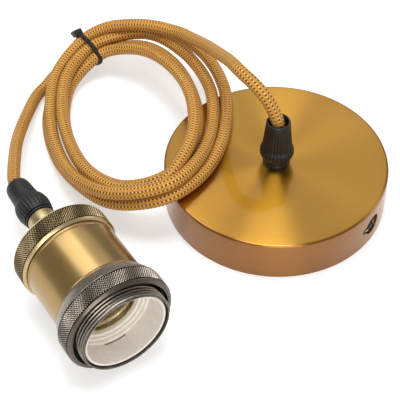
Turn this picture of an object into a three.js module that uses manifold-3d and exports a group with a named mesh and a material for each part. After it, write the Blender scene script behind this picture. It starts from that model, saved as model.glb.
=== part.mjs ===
// Pendant cord set: ceiling canopy, braided cord in a tied coil, and metal lamp holder.
// Millimetres, +Z up. The origin is the centre of the canopy's rim, on the ceiling face.
// The set lies as it is packed: canopy on its rim, holder on its side with the mouth to -Y.
import * as THREE from "three";
import { mergeVertices } from "three/addons/utils/BufferGeometryUtils.js";
import Module from "manifold-3d";

const wasm = await Module();
wasm.setup();

// Clearances
const FIT = 0.3;
const SLIP = 0.25;

// Canopy cup and the parts inside it
const CANOPY_RADIUS = 50;
const CANOPY_HEIGHT = 20;
const CANOPY_WALL = 1.5;
const CANOPY_CREASE = 1.2;
const SCREW_BEARING = -67.35;
const SCREW_HEIGHT = 10;
const KEYHOLE_RADIUS = 4.9;
const KEYHOLE_NECK = 3.4;
const KEYHOLE_REACH = 6.8;
const STRAP_THICK = 1.5;
const STRAP_WIDTH = 18;
const STRAP_SLOT_WIDTH = 4.6;
const STRAP_SLOT_LENGTH = 13;
const STRAP_SLOT_CENTRE = 30;
const STRAP_BEND = 2.5;
const STRAP_GAP = 1.1;
const SCREW_SHANK = 1.9;
const SCREW_HEAD = 3.5;
const SMALL_SCREW = 1.5;
const EARTH_SCREW_AT = [17, 5.5];
const BLOCK_CENTRE = -17;
const BLOCK_SIZE = [15, 16, 9.5];
const BLOCK_POLE = 4.2;
const BLOCK_SCREW = 4;
const BLOCK_WIRE_HEIGHT = 4.6;

// Cord
const CORD_DIAMETER = 5.8;
const CORE_DIAMETER = 2.1;

// Cord grips: one turned up on the canopy, one behind the lamp holder
const GRIP_STEM_RADIUS = 4.85;
const GRIP_STEM_LENGTH = 8.5;
const GRIP_COLLAR_RADIUS = 6;
const GRIP_COLLAR = 4.5;
const GRIP_COLLET_RADIUS = 4.3;
const GRIP_COLLET = 11;
const GRIP_SLIT = 0.7;
const GRIP_RIBS = 15;
const GRIP_RIB_DEPTH = 0.018;
const GRIP_BULGE_RADIUS = 7.6;
const GRIP_LENGTH = 25;
const BACK_GRIP_LENGTH = 22.6;
const BACK_GRIP_RADIUS = 7.7;
const BACK_GRIP_STEM = 6.5;
const BACK_GRIP_FLANGE = 1;
const BACK_GRIP_NOSE = 6;
const TAIL_INSIDE_GRIP = 6;

// Lamp holder, stations along its axis: 0 at the shade ring's knurl, positive to the mouth.
// The lamp's screw shell sets the width of every sleeve, ring and tube round it.
const HOLDER_X = -105.6;
const HOLDER_Y = -42.85;
const HOLDER_SIDES = 28;
const SHELL_MAJOR = 13.55;
const SHELL_MINOR = SHELL_MAJOR - 1;
const SHELL_SHEET = 0.45;
const SHELL_FLOOR = 1.2;
const SHELL_HOLE = 6;
const SHELL_PITCH = 3.629;
const SHELL_FRONT = -9.8;
const HOUSING_BORE = SHELL_MAJOR + 0.65;
const THREAD_RADIUS = SHELL_MAJOR + 6.45;
const THREAD_PITCH = 1.5;
const THREAD_DEPTH = 0.55;
const THREAD_TURNS = 5;
const SLEEVE_WALL = 0.55;
const SLEEVE_BORE = THREAD_RADIUS - THREAD_DEPTH - SLEEVE_WALL;
const SLEEVE_LIP = 5.8;
const SLEEVE_TAIL = 7;
const BODY_RADIUS = THREAD_RADIUS + 0.5;
const BODY_WALL = 0.9;
const BODY_BORE = BODY_RADIUS - BODY_WALL;
const BODY_FRONT = -9;
const BODY_BACK = -39.2;
const BEAD = 0.35;
const SPIGOT_LENGTH = 5;
const SPIGOT_WALL = 1.1;
const RING_RADIUS = THREAD_RADIUS + 4;
const RING_KNURL = 7.3;
const RING_CONE = 5.5;
const RING_CONE_RADIUS = BODY_RADIUS + 1;
const RING_CHAMFER = 1.2;
const RING_RIM = 1.2;
const CAP_RADIUS = BODY_RADIUS + 1.5;
const CAP_FRONT = BODY_BACK - FIT;
const CAP_CHAMFER = 1.2;
const CAP_KNURL = 7.7;
const CAP_WALL = 1.4;
const CAP_NECK_WALL = 1.1;
const CAP_NECK_START = -58.5;
const CAP_NECK_END = -66;
const LINER_LIP = 4.9;
const LINER_RADIUS = SLEEVE_BORE - 0.5;
const LINER_BORE = LINER_RADIUS - 1.1;
const LINER_FLOOR = -6.2;
const LEDGE = 1.3;
const HOUSING_RADIUS = LINER_RADIUS - 1.5;
const HOUSING_BACK = -34;
const HOUSING_FLANGE = -37.6;
const PASSAGE_RADIUS = 1.9;
const CONTACT_WIDTH = 4.6;
const CONTACT_SHEET = 0.5;
const CONTACT_HOLE = -3.4;
const TERMINAL_OFFSET = 8.5;
const TERMINAL_SIZE = 5;

// Coil: an oval bundle of turns, its left edge on the floor and its right edge on the canopy
const COIL_BEARING = -32.85;
const COIL_CENTRE = [-65.5, 33];
const COIL_TURN = 18;
const COIL_INNER = [26, 46.3];
const COIL_OUTER = [43, 62];
const COIL_LAYERS = 2;
const RAMP_TOP_X = -53.5;
const RAMP_SLOPE = 0.41;
const TIE_ANGLE = 99;
const TIE_WIDTH = 2.4;
const TIE_THICK = 1.1;
const TIE_HEAD = 5;

const rad = THREE.MathUtils.degToRad;
const set = new THREE.Group();
set.name = "pendant_cord_set";

function finish(color, roughness, metalness) {
  return new THREE.MeshStandardMaterial({ color, roughness, metalness });
}

const brushedGold = finish("#c5913f", 0.35, 1);
const satinBrass = finish("#b89c5c", 0.3, 1);
const darkBronze = finish("#57482f", 0.45, 1);
const gunmetal = finish("#4a4642", 0.45, 1);
const contactBrass = finish("#c9a457", 0.35, 1);
const zincSteel = finish("#b9bcc0", 0.4, 1);
const blackSteel = finish("#1d1c1e", 0.4, 1);
const blackNylon = finish("#2c2a2c", 0.6, 0);
const whiteCeramic = finish("#e5dcd0", 0.4, 0);
const whiteNylon = finish("#ece8de", 0.5, 0);
const copperBraid = finish("#d9a050", 0.7, 0);
const liveBrown = finish("#5b3420", 0.5, 0);
const neutralBlue = finish("#2c5f9c", 0.5, 0);
const earthGreen = finish("#7d9a2c", 0.5, 0);

function piece(group, name, geometry, material) {
  const mesh = new THREE.Mesh(geometry, material.clone());
  mesh.name = name;
  group.add(mesh);
  return mesh;
}

// A body turned about Z from [radius, height] points
function turned(profile, sides = HOLDER_SIDES) {
  const points = profile.map(([r, z]) => new THREE.Vector2(r, z));
  return new THREE.LatheGeometry(points, sides).rotateX(Math.PI / 2);
}

function rod(radius, from, to, sides = 12) {
  return turned([[0, from], [radius, from], [radius, to], [0, to]], sides);
}

function block(x, y, z, sx, sy, sz) {
  return new THREE.BoxGeometry(sx, sy, sz).translate(x, y, z);
}

function solid(geometry) {
  const bare = new THREE.BufferGeometry();
  bare.setAttribute("position", geometry.getAttribute("position"));
  bare.setIndex(geometry.index);
  const merged = mergeVertices(bare, 1e-4);
  return new wasm.Manifold(
    new wasm.Mesh({
      numProp: 3,
      vertProperties: merged.attributes.position.array,
      triVerts: new Uint32Array(merged.index.array),
    }),
  );
}

function surface(body) {
  const mesh = body.getMesh();
  const geometry = new THREE.BufferGeometry();
  geometry.setAttribute("position", new THREE.BufferAttribute(mesh.vertProperties, 3));
  geometry.setIndex(new THREE.BufferAttribute(mesh.triVerts, 1));
  geometry.computeVertexNormals();
  return geometry;
}

function cut(from, ...tools) {
  return surface(tools.reduce((body, tool) => body.subtract(solid(tool)), solid(from)));
}

function joined(first, ...others) {
  return surface(others.reduce((body, other) => body.add(solid(other)), solid(first)));
}

// A round tube swept along a smooth path of points
function swept(points, diameter, steps, sides = 8) {
  const path = new THREE.CatmullRomCurve3(points.map((p) => new THREE.Vector3(...p)));
  const ring = new THREE.Shape().absarc(0, 0, diameter / 2, 0, 2 * Math.PI);
  return new THREE.ExtrudeGeometry(ring, { extrudePath: path, steps, curveSegments: sides / 2 });
}

// A flat outline, thickened about its own plane
function plate(shape, thickness, curveSegments = 5) {
  const options = { depth: thickness, bevelEnabled: false, curveSegments };
  return new THREE.ExtrudeGeometry(shape, options).translate(0, 0, -thickness / 2);
}

function obround(length, width) {
  const r = width / 2;
  const reach = length / 2 - r;
  const shape = new THREE.Shape();
  shape.absarc(reach, 0, r, -Math.PI / 2, Math.PI / 2);
  shape.absarc(-reach, 0, r, Math.PI / 2, 1.5 * Math.PI);
  return shape;
}

// Screw with its head up the Z axis from the seat at z = 0, slotted
function slottedScrew(headRadius, headHeight, shankRadius, shankLength) {
  const body = turned(
    [
      [0, -shankLength],
      [shankRadius, -shankLength],
      [shankRadius, 0],
      [headRadius, 0],
      [headRadius, headHeight * 0.6],
      [headRadius * 0.75, headHeight],
      [0, headHeight],
    ],
    10,
  );
  return cut(body, block(0, 0, headHeight, 3 * headRadius, headRadius * 0.28, headHeight * 0.9));
}

// Canopy cup with its grip hole and two keyholes for the side screws
function canopyCup() {
  const r = CANOPY_RADIUS;
  const h = CANOPY_HEIGHT;
  const hole = GRIP_STEM_RADIUS + SLIP;
  const profile = [
    [r - CANOPY_WALL, 0],
    [r, 0],
    [r, h - CANOPY_CREASE],
    [r - 0.3 * CANOPY_CREASE, h - 0.3 * CANOPY_CREASE],
    [r - CANOPY_CREASE, h],
    [hole, h],
    [hole, h - CANOPY_WALL],
    [r - 1.6 * CANOPY_CREASE, h - CANOPY_WALL],
    [r - CANOPY_WALL, h - CANOPY_WALL - CANOPY_CREASE],
    [r - CANOPY_WALL, 0],
  ];
  const tools = [1, -1].flatMap((side) => {
    const x = side * r;
    const through = 5 * CANOPY_WALL;
    const round = rod(KEYHOLE_RADIUS, -through, through, 20).rotateY(Math.PI / 2);
    const neck = block(0, (-side * KEYHOLE_REACH) / 2, 0, through, KEYHOLE_REACH, KEYHOLE_NECK);
    return [round.translate(x, 0, SCREW_HEIGHT), neck.translate(x, 0, SCREW_HEIGHT)];
  });
  return cut(turned(profile, 48), ...tools);
}

// Ceiling strap: one bent bar, slotted for the ceiling screws, ends turned down to the screws
function ceilingStrap() {
  const reach = CANOPY_RADIUS - CANOPY_WALL - STRAP_GAP - FIT;
  const top = SCREW_HEIGHT + 1.4 * SCREW_HEAD;
  const t = STRAP_THICK;
  const b = STRAP_BEND;
  const shape = new THREE.Shape();
  shape.moveTo(-reach + b, 0);
  shape.lineTo(reach - b, 0);
  shape.absarc(reach - b, b, b, -Math.PI / 2, 0);
  shape.lineTo(reach, top);
  shape.lineTo(reach - t, top);
  shape.absarc(reach - b, b, b - t, 0, -Math.PI / 2, true);
  shape.lineTo(-reach + b, t);
  shape.absarc(-reach + b, b, b - t, -Math.PI / 2, -Math.PI, true);
  shape.lineTo(-reach + t, top);
  shape.lineTo(-reach, top);
  shape.absarc(-reach + b, b, b, Math.PI, 1.5 * Math.PI);
  const bar = plate(shape, STRAP_WIDTH).rotateX(Math.PI / 2);
  const slots = [1, -1].map((side) =>
    plate(obround(STRAP_SLOT_LENGTH, STRAP_SLOT_WIDTH), 4 * t).translate(
      side * STRAP_SLOT_CENTRE,
      0,
      0,
    ),
  );
  const tapped = [1, -1].map((side) =>
    rod(SCREW_SHANK + SLIP, -2 * t, 2 * t)
      .rotateY(Math.PI / 2)
      .translate(side * reach, 0, SCREW_HEIGHT),
  );
  const earthHole = rod(SMALL_SCREW + SLIP, -t, 2 * t).translate(...EARTH_SCREW_AT, 0);
  return cut(bar, ...slots, ...tapped, earthHole);
}

// Grip base: stem, collar and the slotted collet that closes on the cord
function gripBase(stem, collar, collarRadius) {
  const bore = CORD_DIAMETER / 2 + SLIP;
  const collet = collar + GRIP_COLLET;
  const profile = [
    [bore, -stem],
    [GRIP_STEM_RADIUS, -stem],
    [GRIP_STEM_RADIUS, 0],
    [collarRadius, 0],
    [collarRadius, collar],
    [GRIP_COLLET_RADIUS, collar],
    [GRIP_COLLET_RADIUS, collet - 2],
    [GRIP_COLLET_RADIUS - 0.6, collet],
    [bore, collet],
    [bore, -stem],
  ];
  const slits = [0, 60, 120].map((angle) =>
    block(0, 0, collet - 2, 3 * GRIP_COLLET_RADIUS, GRIP_SLIT, 8).rotateZ(rad(angle)),
  );
  return cut(turned(profile, 18), ...slits);
}

// Presses shallow ribs into the widest part of a turned grip
function ribbed(profile) {
  const geometry = turned(profile, 2 * GRIP_RIBS);
  const at = geometry.getAttribute("position");
  for (let i = 0; i < at.count; i++) {
    const r = Math.hypot(at.getX(i), at.getY(i));
    if (r < GRIP_BULGE_RADIUS - 1.1) continue;
    const wave = Math.cos(GRIP_RIBS * Math.atan2(at.getY(i), at.getX(i)));
    const rib = 1 + GRIP_RIB_DEPTH * wave;
    at.setXY(i, at.getX(i) * rib, at.getY(i) * rib);
  }
  return geometry;
}

// Grip nut: ribbed bulge, tapering to an open mouth the cord leaves by
function gripNut() {
  const foot = GRIP_COLLAR + FIT;
  const clamp = GRIP_COLLAR + GRIP_COLLET + FIT;
  const bore = CORD_DIAMETER / 2 + SLIP;
  const chamber = GRIP_COLLET_RADIUS + SLIP;
  const bulge = GRIP_BULGE_RADIUS;
  return ribbed([
    [chamber, foot],
    [bulge - 1.2, foot],
    [bulge - 0.3, foot + 1],
    [bulge, foot + 2.6],
    [bulge - 0.3, foot + 4.4],
    [bulge - 0.9, foot + 5.4],
    [bulge - 1.5, GRIP_LENGTH - 7],
    [bulge - 2.25, GRIP_LENGTH - 0.5],
    [bulge - 2.6, GRIP_LENGTH],
    [bulge - 3.2, GRIP_LENGTH],
    [bore, GRIP_LENGTH - 4.5],
    [bore, clamp],
    [chamber, clamp - 0.6],
    [chamber, foot],
  ]);
}

// Grip nut behind the holder: ribbed grip, step and a rounded nose
function backGripNut() {
  const foot = BACK_GRIP_FLANGE + FIT;
  const end = BACK_GRIP_LENGTH;
  const clamp = BACK_GRIP_FLANGE + GRIP_COLLET + FIT;
  const bore = CORD_DIAMETER / 2 + SLIP;
  const chamber = GRIP_COLLET_RADIUS + SLIP;
  const wide = BACK_GRIP_RADIUS;
  const nose = BACK_GRIP_NOSE;
  return ribbed([
    [chamber, foot],
    [wide - 0.85, foot],
    [wide - 0.25, 4],
    [wide, 6],
    [wide - 0.2, 8.4],
    [wide - 0.8, 10.2],
    [nose + 0.1, 10.8],
    [nose, 11.6],
    [nose - 0.5, end - 3],
    [nose - 0.9, end - 1],
    [nose - 1.5, end],
    [nose - 2.2, end],
    [bore, end - 2.5],
    [bore, clamp + 0.4],
    [chamber, clamp],
    [chamber, foot],
  ]);
}

function hexNut(acrossFlats, height, holeRadius) {
  const shape = new THREE.Shape();
  const corner = acrossFlats / Math.sqrt(3);
  for (let i = 0; i < 6; i++) {
    shape[i ? "lineTo" : "moveTo"](corner * Math.cos(rad(60 * i)), corner * Math.sin(rad(60 * i)));
  }
  shape.holes.push(new THREE.Path().absarc(0, 0, holeRadius, 0, 2 * Math.PI, true));
  return plate(shape, height, 9);
}

function buildCanopy() {
  const group = new THREE.Group();
  group.rotation.z = rad(SCREW_BEARING);
  set.add(group);
  piece(group, "canopy", canopyCup(), brushedGold);
  piece(group, "ceiling_bracket", ceilingStrap(), zincSteel);
  const flange = CANOPY_RADIUS - CANOPY_WALL - STRAP_GAP - FIT;
  [1, -1].forEach((side, i) => {
    const head = CANOPY_RADIUS - flange - 0.2;
    const screw = slottedScrew(SCREW_HEAD, head, SCREW_SHANK, 6);
    const mesh = piece(group, "side_screw_" + (i + 1), screw, blackSteel);
    mesh.rotation.y = (side * Math.PI) / 2;
    mesh.position.set(side * flange, 0, SCREW_HEIGHT);
  });

  const earthShape = slottedScrew(2 * SMALL_SCREW, 2, SMALL_SCREW, STRAP_THICK);
  const earth = piece(group, "earth_screw", earthShape, contactBrass);
  earth.position.set(...EARTH_SCREW_AT, STRAP_THICK);

  const underside = CANOPY_HEIGHT - CANOPY_WALL;
  const stemHole = GRIP_STEM_RADIUS + SLIP;
  const washerRadius = stemHole + 2.9;
  const washerThick = 0.8;
  const nutThick = 2.8;
  const washer = turned(
    [
      [stemHole, -washerThick],
      [washerRadius, -washerThick],
      [washerRadius, 0],
      [stemHole, 0],
      [stemHole, -washerThick],
    ],
    20,
  );
  piece(group, "grip_washer", washer, zincSteel).position.z = underside;
  const nutShape = hexNut(2 * (stemHole + 1.9), nutThick, stemHole);
  const nut = piece(group, "grip_lock_nut", nutShape, zincSteel);
  nut.position.z = underside - washerThick - nutThick / 2;
  const gripBody = gripBase(GRIP_STEM_LENGTH, GRIP_COLLAR, GRIP_COLLAR_RADIUS);
  piece(group, "canopy_grip_base", gripBody, blackNylon).position.z = CANOPY_HEIGHT;
  piece(group, "canopy_grip_nut", gripNut(), blackNylon).position.z = CANOPY_HEIGHT;
  buildTerminalBlock(group);
  buildCanopyCores(group);
}

// Two-way terminal block standing on the strap, its four screws up
function buildTerminalBlock(group) {
  const [sizeX, sizeY, height] = BLOCK_SIZE;
  const top = STRAP_THICK + height;
  const wire = CORE_DIAMETER / 2 + 0.55;
  const well = SMALL_SCREW + 0.5;
  const poles = [BLOCK_POLE, -BLOCK_POLE];
  const ends = [BLOCK_SCREW, -BLOCK_SCREW];
  const wells = poles.flatMap((y) =>
    ends.map((x) => rod(well, -0.25 * height, height).translate(BLOCK_CENTRE + x, y, top)),
  );
  const holes = poles.map((y) =>
    rod(wire, -sizeX, sizeX).rotateY(Math.PI / 2).translate(BLOCK_CENTRE, y, BLOCK_WIRE_HEIGHT),
  );
  const body = block(BLOCK_CENTRE, 0, STRAP_THICK + height / 2, sizeX, sizeY, height);
  const groove = block(BLOCK_CENTRE, 0, top, 2 * sizeX, 0.1 * sizeY, 0.8 * height);
  piece(group, "terminal_block", cut(body, groove, ...holes, ...wells), whiteNylon);
  poles.forEach((y, pole) => {
    ends.forEach((x, i) => {
      const name = "terminal_screw_" + (2 * pole + i + 1);
      const shape = slottedScrew(well - 0.3, 1.6, well - 0.3, 0.6);
      const screw = piece(group, name, shape, contactBrass);
      screw.position.set(BLOCK_CENTRE + x, y, top - 0.16 * height);
    });
  });
}

// Cord end inside the canopy and its three cores
function buildCanopyCores(group) {
  const end = CANOPY_HEIGHT - GRIP_STEM_LENGTH - 2;
  const top = CANOPY_HEIGHT + GRIP_LENGTH - TAIL_INSIDE_GRIP;
  piece(group, "cord_tail_canopy", rod(CORD_DIAMETER / 2, end, top), copperBraid);
  const entry = BLOCK_CENTRE + BLOCK_SIZE[0] / 2 + FIT;
  const start = end - FIT;
  const toPole = (side) => [
    [-0.9, 1.3 * side, start],
    [-1.4, 1.7 * side, start - 2.4],
    [-4, 3.4 * side, BLOCK_WIRE_HEIGHT + 0.3],
    [entry, BLOCK_POLE * side, BLOCK_WIRE_HEIGHT],
  ];
  const [earthX, earthY] = EARTH_SCREW_AT;
  const toEarth = [
    [1.5, 0, start],
    [2.4, 0.4, start - 2.6],
    [7, 3.2, 4.2],
    [earthX - 3.8, earthY - 0.2, STRAP_THICK + 1.9],
  ];
  piece(group, "canopy_live_core", swept(toPole(1), CORE_DIAMETER, 8, 6), liveBrown);
  piece(group, "canopy_neutral_core", swept(toPole(-1), CORE_DIAMETER, 8, 6), neutralBlue);
  piece(group, "canopy_earth_core", swept(toEarth, CORE_DIAMETER, 8, 6), earthGreen);
}

// Shade ring: knurled band, rear cone, threaded bore and an open front recess
function shadeRing() {
  const bore = THREAD_RADIUS + FIT;
  const back = -RING_KNURL - RING_CONE;
  const recess = RING_RADIUS - RING_CHAMFER - RING_RIM;
  return turned(
    [
      [BODY_RADIUS + FIT, back],
      [RING_CONE_RADIUS, back],
      [RING_RADIUS, -RING_KNURL],
      [RING_RADIUS, 0],
      [RING_RADIUS - RING_CHAMFER, RING_CHAMFER],
      [recess, RING_CHAMFER],
      [recess - 0.2, -RING_CHAMFER],
      [bore, -1.5 * RING_CHAMFER],
      [bore, BODY_FRONT + FIT],
      [BODY_RADIUS + FIT, BODY_FRONT],
      [BODY_RADIUS + FIT, back],
    ],
    36,
  );
}

// Sleeve that carries the shade thread, with a spigot inside the brass body
function threadedSleeve() {
  const root = THREAD_RADIUS - THREAD_DEPTH;
  const spigot = BODY_BORE - SLIP;
  const tail = BODY_FRONT - SLEEVE_TAIL;
  const profile = [
    [SLEEVE_BORE, tail],
    [spigot, tail],
    [spigot, BODY_FRONT + FIT],
    [root, BODY_FRONT + FIT],
  ];
  for (let i = THREAD_TURNS; i > 0; i--) {
    const z = SLEEVE_LIP - (i + 0.45) * THREAD_PITCH;
    profile.push([root, z]);
    profile.push([THREAD_RADIUS, z + 0.5 * THREAD_PITCH]);
  }
  profile.push([root, SLEEVE_LIP - 0.45 * THREAD_PITCH]);
  profile.push([root, SLEEVE_LIP]);
  profile.push([SLEEVE_BORE, SLEEVE_LIP]);
  profile.push([SLEEVE_BORE, tail]);
  return turned(profile);
}

// Body tube: a bead and groove at each end, and a stepped spigot for the cap
function holderBody() {
  const r = BODY_RADIUS;
  const spigot = BODY_BORE - SLIP;
  const shoulder = BODY_BACK + SPIGOT_WALL + FIT;
  const frontBead = BODY_FRONT - 5;
  return turned([
    [spigot - SPIGOT_WALL, BODY_BACK - SPIGOT_LENGTH],
    [spigot, BODY_BACK - SPIGOT_LENGTH],
    [spigot, BODY_BACK],
    [r, BODY_BACK],
    [r, BODY_BACK + 3 * BEAD],
    [r - BEAD, BODY_BACK + 4 * BEAD],
    [r, BODY_BACK + 5 * BEAD],
    [r, frontBead - BEAD],
    [r - BEAD, frontBead],
    [r, frontBead + BEAD],
    [r, BODY_FRONT],
    [BODY_BORE, BODY_FRONT],
    [BODY_BORE, shoulder],
    [spigot - SPIGOT_WALL, shoulder],
    [spigot - SPIGOT_WALL, BODY_BACK - SPIGOT_LENGTH],
  ]);
}

// Cap: knurled band with two chamfers, a low cone behind it and the neck the grip screws into
function holderCap() {
  const bore = BODY_BORE - SLIP + FIT;
  const knurlFront = CAP_FRONT - CAP_CHAMFER;
  const knurlBack = knurlFront - CAP_KNURL;
  const shoulder = knurlBack - CAP_CHAMFER;
  const neckBore = GRIP_STEM_RADIUS + SLIP;
  const neck = neckBore + CAP_NECK_WALL;
  const outside = [];
  const inside = [];
  const steps = 4;
  for (let i = 0; i <= steps; i++) {
    const share = i / steps;
    const z = THREE.MathUtils.lerp(shoulder, CAP_NECK_START, 0.85 * share + 0.15 * share ** 4);
    const r = THREE.MathUtils.lerp(CAP_RADIUS - CAP_CHAMFER, neck, share);
    outside.push([r, z]);
    if (i < steps) inside.push([Math.max(r - CAP_WALL, neckBore), z + 1.15 * CAP_WALL]);
  }
  const profile = [
    [bore, CAP_FRONT],
    [CAP_RADIUS - CAP_CHAMFER, CAP_FRONT],
    [CAP_RADIUS, knurlFront],
    [CAP_RADIUS, knurlBack],
    ...outside,
    [neck, CAP_NECK_END],
    [neckBore, CAP_NECK_END],
    [neckBore, CAP_NECK_START + CAP_WALL],
    ...inside.reverse(),
    [bore, knurlBack + 1],
    [bore, CAP_FRONT],
  ];
  return turned(profile.reverse());
}

// Insulator: wide white liner, stepped floor, narrower tube round the shell and a back wall
function insulator() {
  const ledges = [1, 2].map((i) => THREE.MathUtils.lerp(HOUSING_BORE, LINER_BORE, i / 3));
  const flange = BODY_BORE - FIT;
  const profile = [
    [0, HOUSING_BACK],
    [HOUSING_BORE, HOUSING_BACK],
    [HOUSING_BORE, LINER_FLOOR - 2 * LEDGE],
    [ledges[0], LINER_FLOOR - 2 * LEDGE],
    [ledges[0], LINER_FLOOR - LEDGE],
    [ledges[1], LINER_FLOOR - LEDGE],
    [ledges[1], LINER_FLOOR],
    [LINER_BORE, LINER_FLOOR],
    [LINER_BORE, LINER_LIP - 0.4],
    [LINER_BORE + 0.4, LINER_LIP],
    [LINER_RADIUS - 0.3, LINER_LIP],
    [LINER_RADIUS, LINER_LIP - 0.3],
    [LINER_RADIUS, LINER_FLOOR - 3 * LEDGE],
    [HOUSING_RADIUS, LINER_FLOOR - 4 * LEDGE],
    [HOUSING_RADIUS, HOUSING_BACK],
    [flange, HOUSING_BACK],
    [flange, HOUSING_FLANGE + 0.2],
    [HOUSING_RADIUS, HOUSING_FLANGE],
    [0, HOUSING_FLANGE],
  ];
  const slot = block(0, -LINER_RADIUS, LINER_FLOOR + 0.7, 10, 5, 0.9);
  const passages = [1, -1].map((side) =>
    rod(PASSAGE_RADIUS, HOUSING_FLANGE - 2, HOUSING_BACK + 2).translate(
      side * TERMINAL_OFFSET,
      0,
      0,
    ),
  );
  return cut(turned(profile.reverse()), slot, ...passages);
}

// Screw shell: thin sheet rolled to a coarse round thread, turned in to a floor ring
function screwShell() {
  const back = HOUSING_BACK + FIT;
  const foot = back + SHELL_FLOOR;
  const middle = (SHELL_MAJOR + SHELL_MINOR) / 2;
  const half = SHELL_SHEET / 2;
  const rows = 20;
  const step = (SHELL_FRONT - foot) / rows;
  const wall = (offset) =>
    Array.from({ length: rows + 1 }, (_, i) => [middle + offset, foot + i * step]);
  const profile = [
    [SHELL_HOLE, back],
    [middle + half, back],
    ...wall(half),
    ...wall(-half).reverse(),
    [middle - half, back + SHELL_SHEET],
    [SHELL_HOLE, back + SHELL_SHEET],
    [SHELL_HOLE, back],
  ];
  const geometry = turned(profile, 18);
  const at = geometry.getAttribute("position");
  const depth = (SHELL_MAJOR - SHELL_MINOR) / 2 - 0.1;
  for (let i = 0; i < at.count; i++) {
    const [x, y, z] = [at.getX(i), at.getY(i), at.getZ(i)];
    const along = THREE.MathUtils.smoothstep(z, foot, foot + 2.8);
    const lead = 1 - THREE.MathUtils.smoothstep(z, SHELL_FRONT - 2.5, SHELL_FRONT);
    const wave = Math.cos((2 * Math.PI * z) / SHELL_PITCH - Math.atan2(y, x));
    const grown = 1 + (depth * wave * along * lead) / Math.hypot(x, y);
    at.setXY(i, x * grown, y * grown);
  }
  return geometry;
}

// Centre contact: a brass strip lying on the back wall, its free end sprung up to the lamp
function centreContact() {
  const t = CONTACT_SHEET;
  const shape = new THREE.Shape();
  shape.moveTo(-5.2, 0);
  shape.lineTo(1, 0);
  shape.quadraticCurveTo(4.6, 0.2, 3.2, 4.2);
  shape.quadraticCurveTo(2.4, 6, -1.4, 6.3);
  shape.lineTo(-1.4, 6.3 - t);
  shape.quadraticCurveTo(2, 5.6, 2.7, 4);
  shape.quadraticCurveTo(3.8, 0.7, 1, t);
  shape.lineTo(-5.2, t);
  const strip = plate(shape, CONTACT_WIDTH).rotateX(Math.PI / 2);
  return cut(strip, rod(1 + SLIP, -2 * t, 4 * t).translate(CONTACT_HOLE, 0, 0));
}

function buildHolder() {
  const group = new THREE.Group();
  group.position.set(HOLDER_X, HOLDER_Y, RING_RADIUS);
  group.rotation.x = Math.PI / 2;
  set.add(group);
  piece(group, "shade_ring", shadeRing(), gunmetal);
  piece(group, "threaded_sleeve", threadedSleeve(), gunmetal);
  piece(group, "holder_body", holderBody(), satinBrass);
  piece(group, "holder_cap", holderCap(), darkBronze);
  piece(group, "insulator", insulator(), whiteCeramic);
  piece(group, "screw_shell", screwShell(), contactBrass);

  const seat = HOUSING_BACK + 0.05;
  piece(group, "centre_contact", centreContact(), contactBrass).position.z = seat;
  const rivet = piece(group, "contact_screw", slottedScrew(1.9, 1, 1, 0.3), contactBrass);
  rivet.position.set(CONTACT_HOLE, 0, seat + CONTACT_SHEET + 0.05);

  // Grip behind the cap, its nose away from the mouth
  const grip = new THREE.Group();
  grip.rotation.x = Math.PI;
  grip.position.z = CAP_NECK_END - FIT;
  group.add(grip);
  const gripBody = gripBase(BACK_GRIP_STEM, BACK_GRIP_FLANGE, GRIP_COLLAR_RADIUS + 0.6);
  piece(grip, "holder_grip_base", gripBody, blackNylon);
  piece(grip, "holder_grip_nut", backGripNut(), blackNylon);
  buildHolderWiring(group);
}

// Terminals behind the insulator's back wall, one each side, with their screws and cores
function buildHolderWiring(group) {
  const behind = HOUSING_FLANGE - TERMINAL_SIZE / 2;
  const wireY = -1.6;
  const tailEnd = CAP_NECK_END - FIT + BACK_GRIP_STEM + 5;
  const tailStart = CAP_NECK_END - BACK_GRIP_LENGTH + TAIL_INSIDE_GRIP - 2.6;
  const tail = rod(CORD_DIAMETER / 2, tailStart, tailEnd);
  piece(group, "cord_tail_holder", tail, copperBraid);
  const start = tailEnd + FIT;
  [1, -1].forEach((side, i) => {
    const name = ["live", "neutral"][i];
    const x = side * TERMINAL_OFFSET;
    const body = block(x, 0, behind, TERMINAL_SIZE, 1.4 * TERMINAL_SIZE, TERMINAL_SIZE);
    const wireHole = rod(CORE_DIAMETER / 2 + 0.35, -4, 4).translate(x, wireY, behind - 2);
    const screwHole = rod(SMALL_SCREW + 0.2, -1, 6).rotateX(-Math.PI / 2);
    const terminal = cut(body, wireHole, screwHole.translate(x, 1.5, behind));
    piece(group, name + "_terminal", terminal, contactBrass);
    const screwShape = slottedScrew(SMALL_SCREW - 0.05, 1.4, SMALL_SCREW - 0.05, 1);
    const screw = piece(group, name + "_screw", screwShape, zincSteel);
    screw.rotation.x = -Math.PI / 2;
    screw.position.set(x, 2.4, behind);
    const route = [
      [side * 1.3, -0.4, start],
      [side * 2.2, -0.6, start + 2.7],
      [x - side * 1.5, -1.3, start + 7.7],
      [x, wireY, behind - TERMINAL_SIZE / 2 - FIT],
    ];
    const core = swept(route, CORE_DIAMETER, 8, 6);
    piece(group, "holder_" + name + "_core", core, [liveBrown, neutralBlue][i]);
  });
  const earth = [
    [0, 1.6, start],
    [0, 2.6, start + 3.2],
    [0, 8.4, start + 5.4],
    [0, 13.2, start + 6.4],
  ];
  piece(group, "holder_earth_core", swept(earth, CORE_DIAMETER, 8, 6), earthGreen);
}

// Height of the lowest cord layer's centre: floor, ramp, then the canopy's top
function layerHeight(x) {
  const floor = CORD_DIAMETER / 2;
  const top = CANOPY_HEIGHT + CORD_DIAMETER / 2 + 0.4;
  const ramp = top + RAMP_SLOPE * (x - RAMP_TOP_X);
  const capped = -Math.log(Math.exp(-ramp) + Math.exp(-top));
  return Math.log(Math.exp(capped) + Math.exp(floor));
}

function oval([a, b], angle) {
  return (a * b) / Math.hypot(b * Math.cos(angle), a * Math.sin(angle));
}

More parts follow.
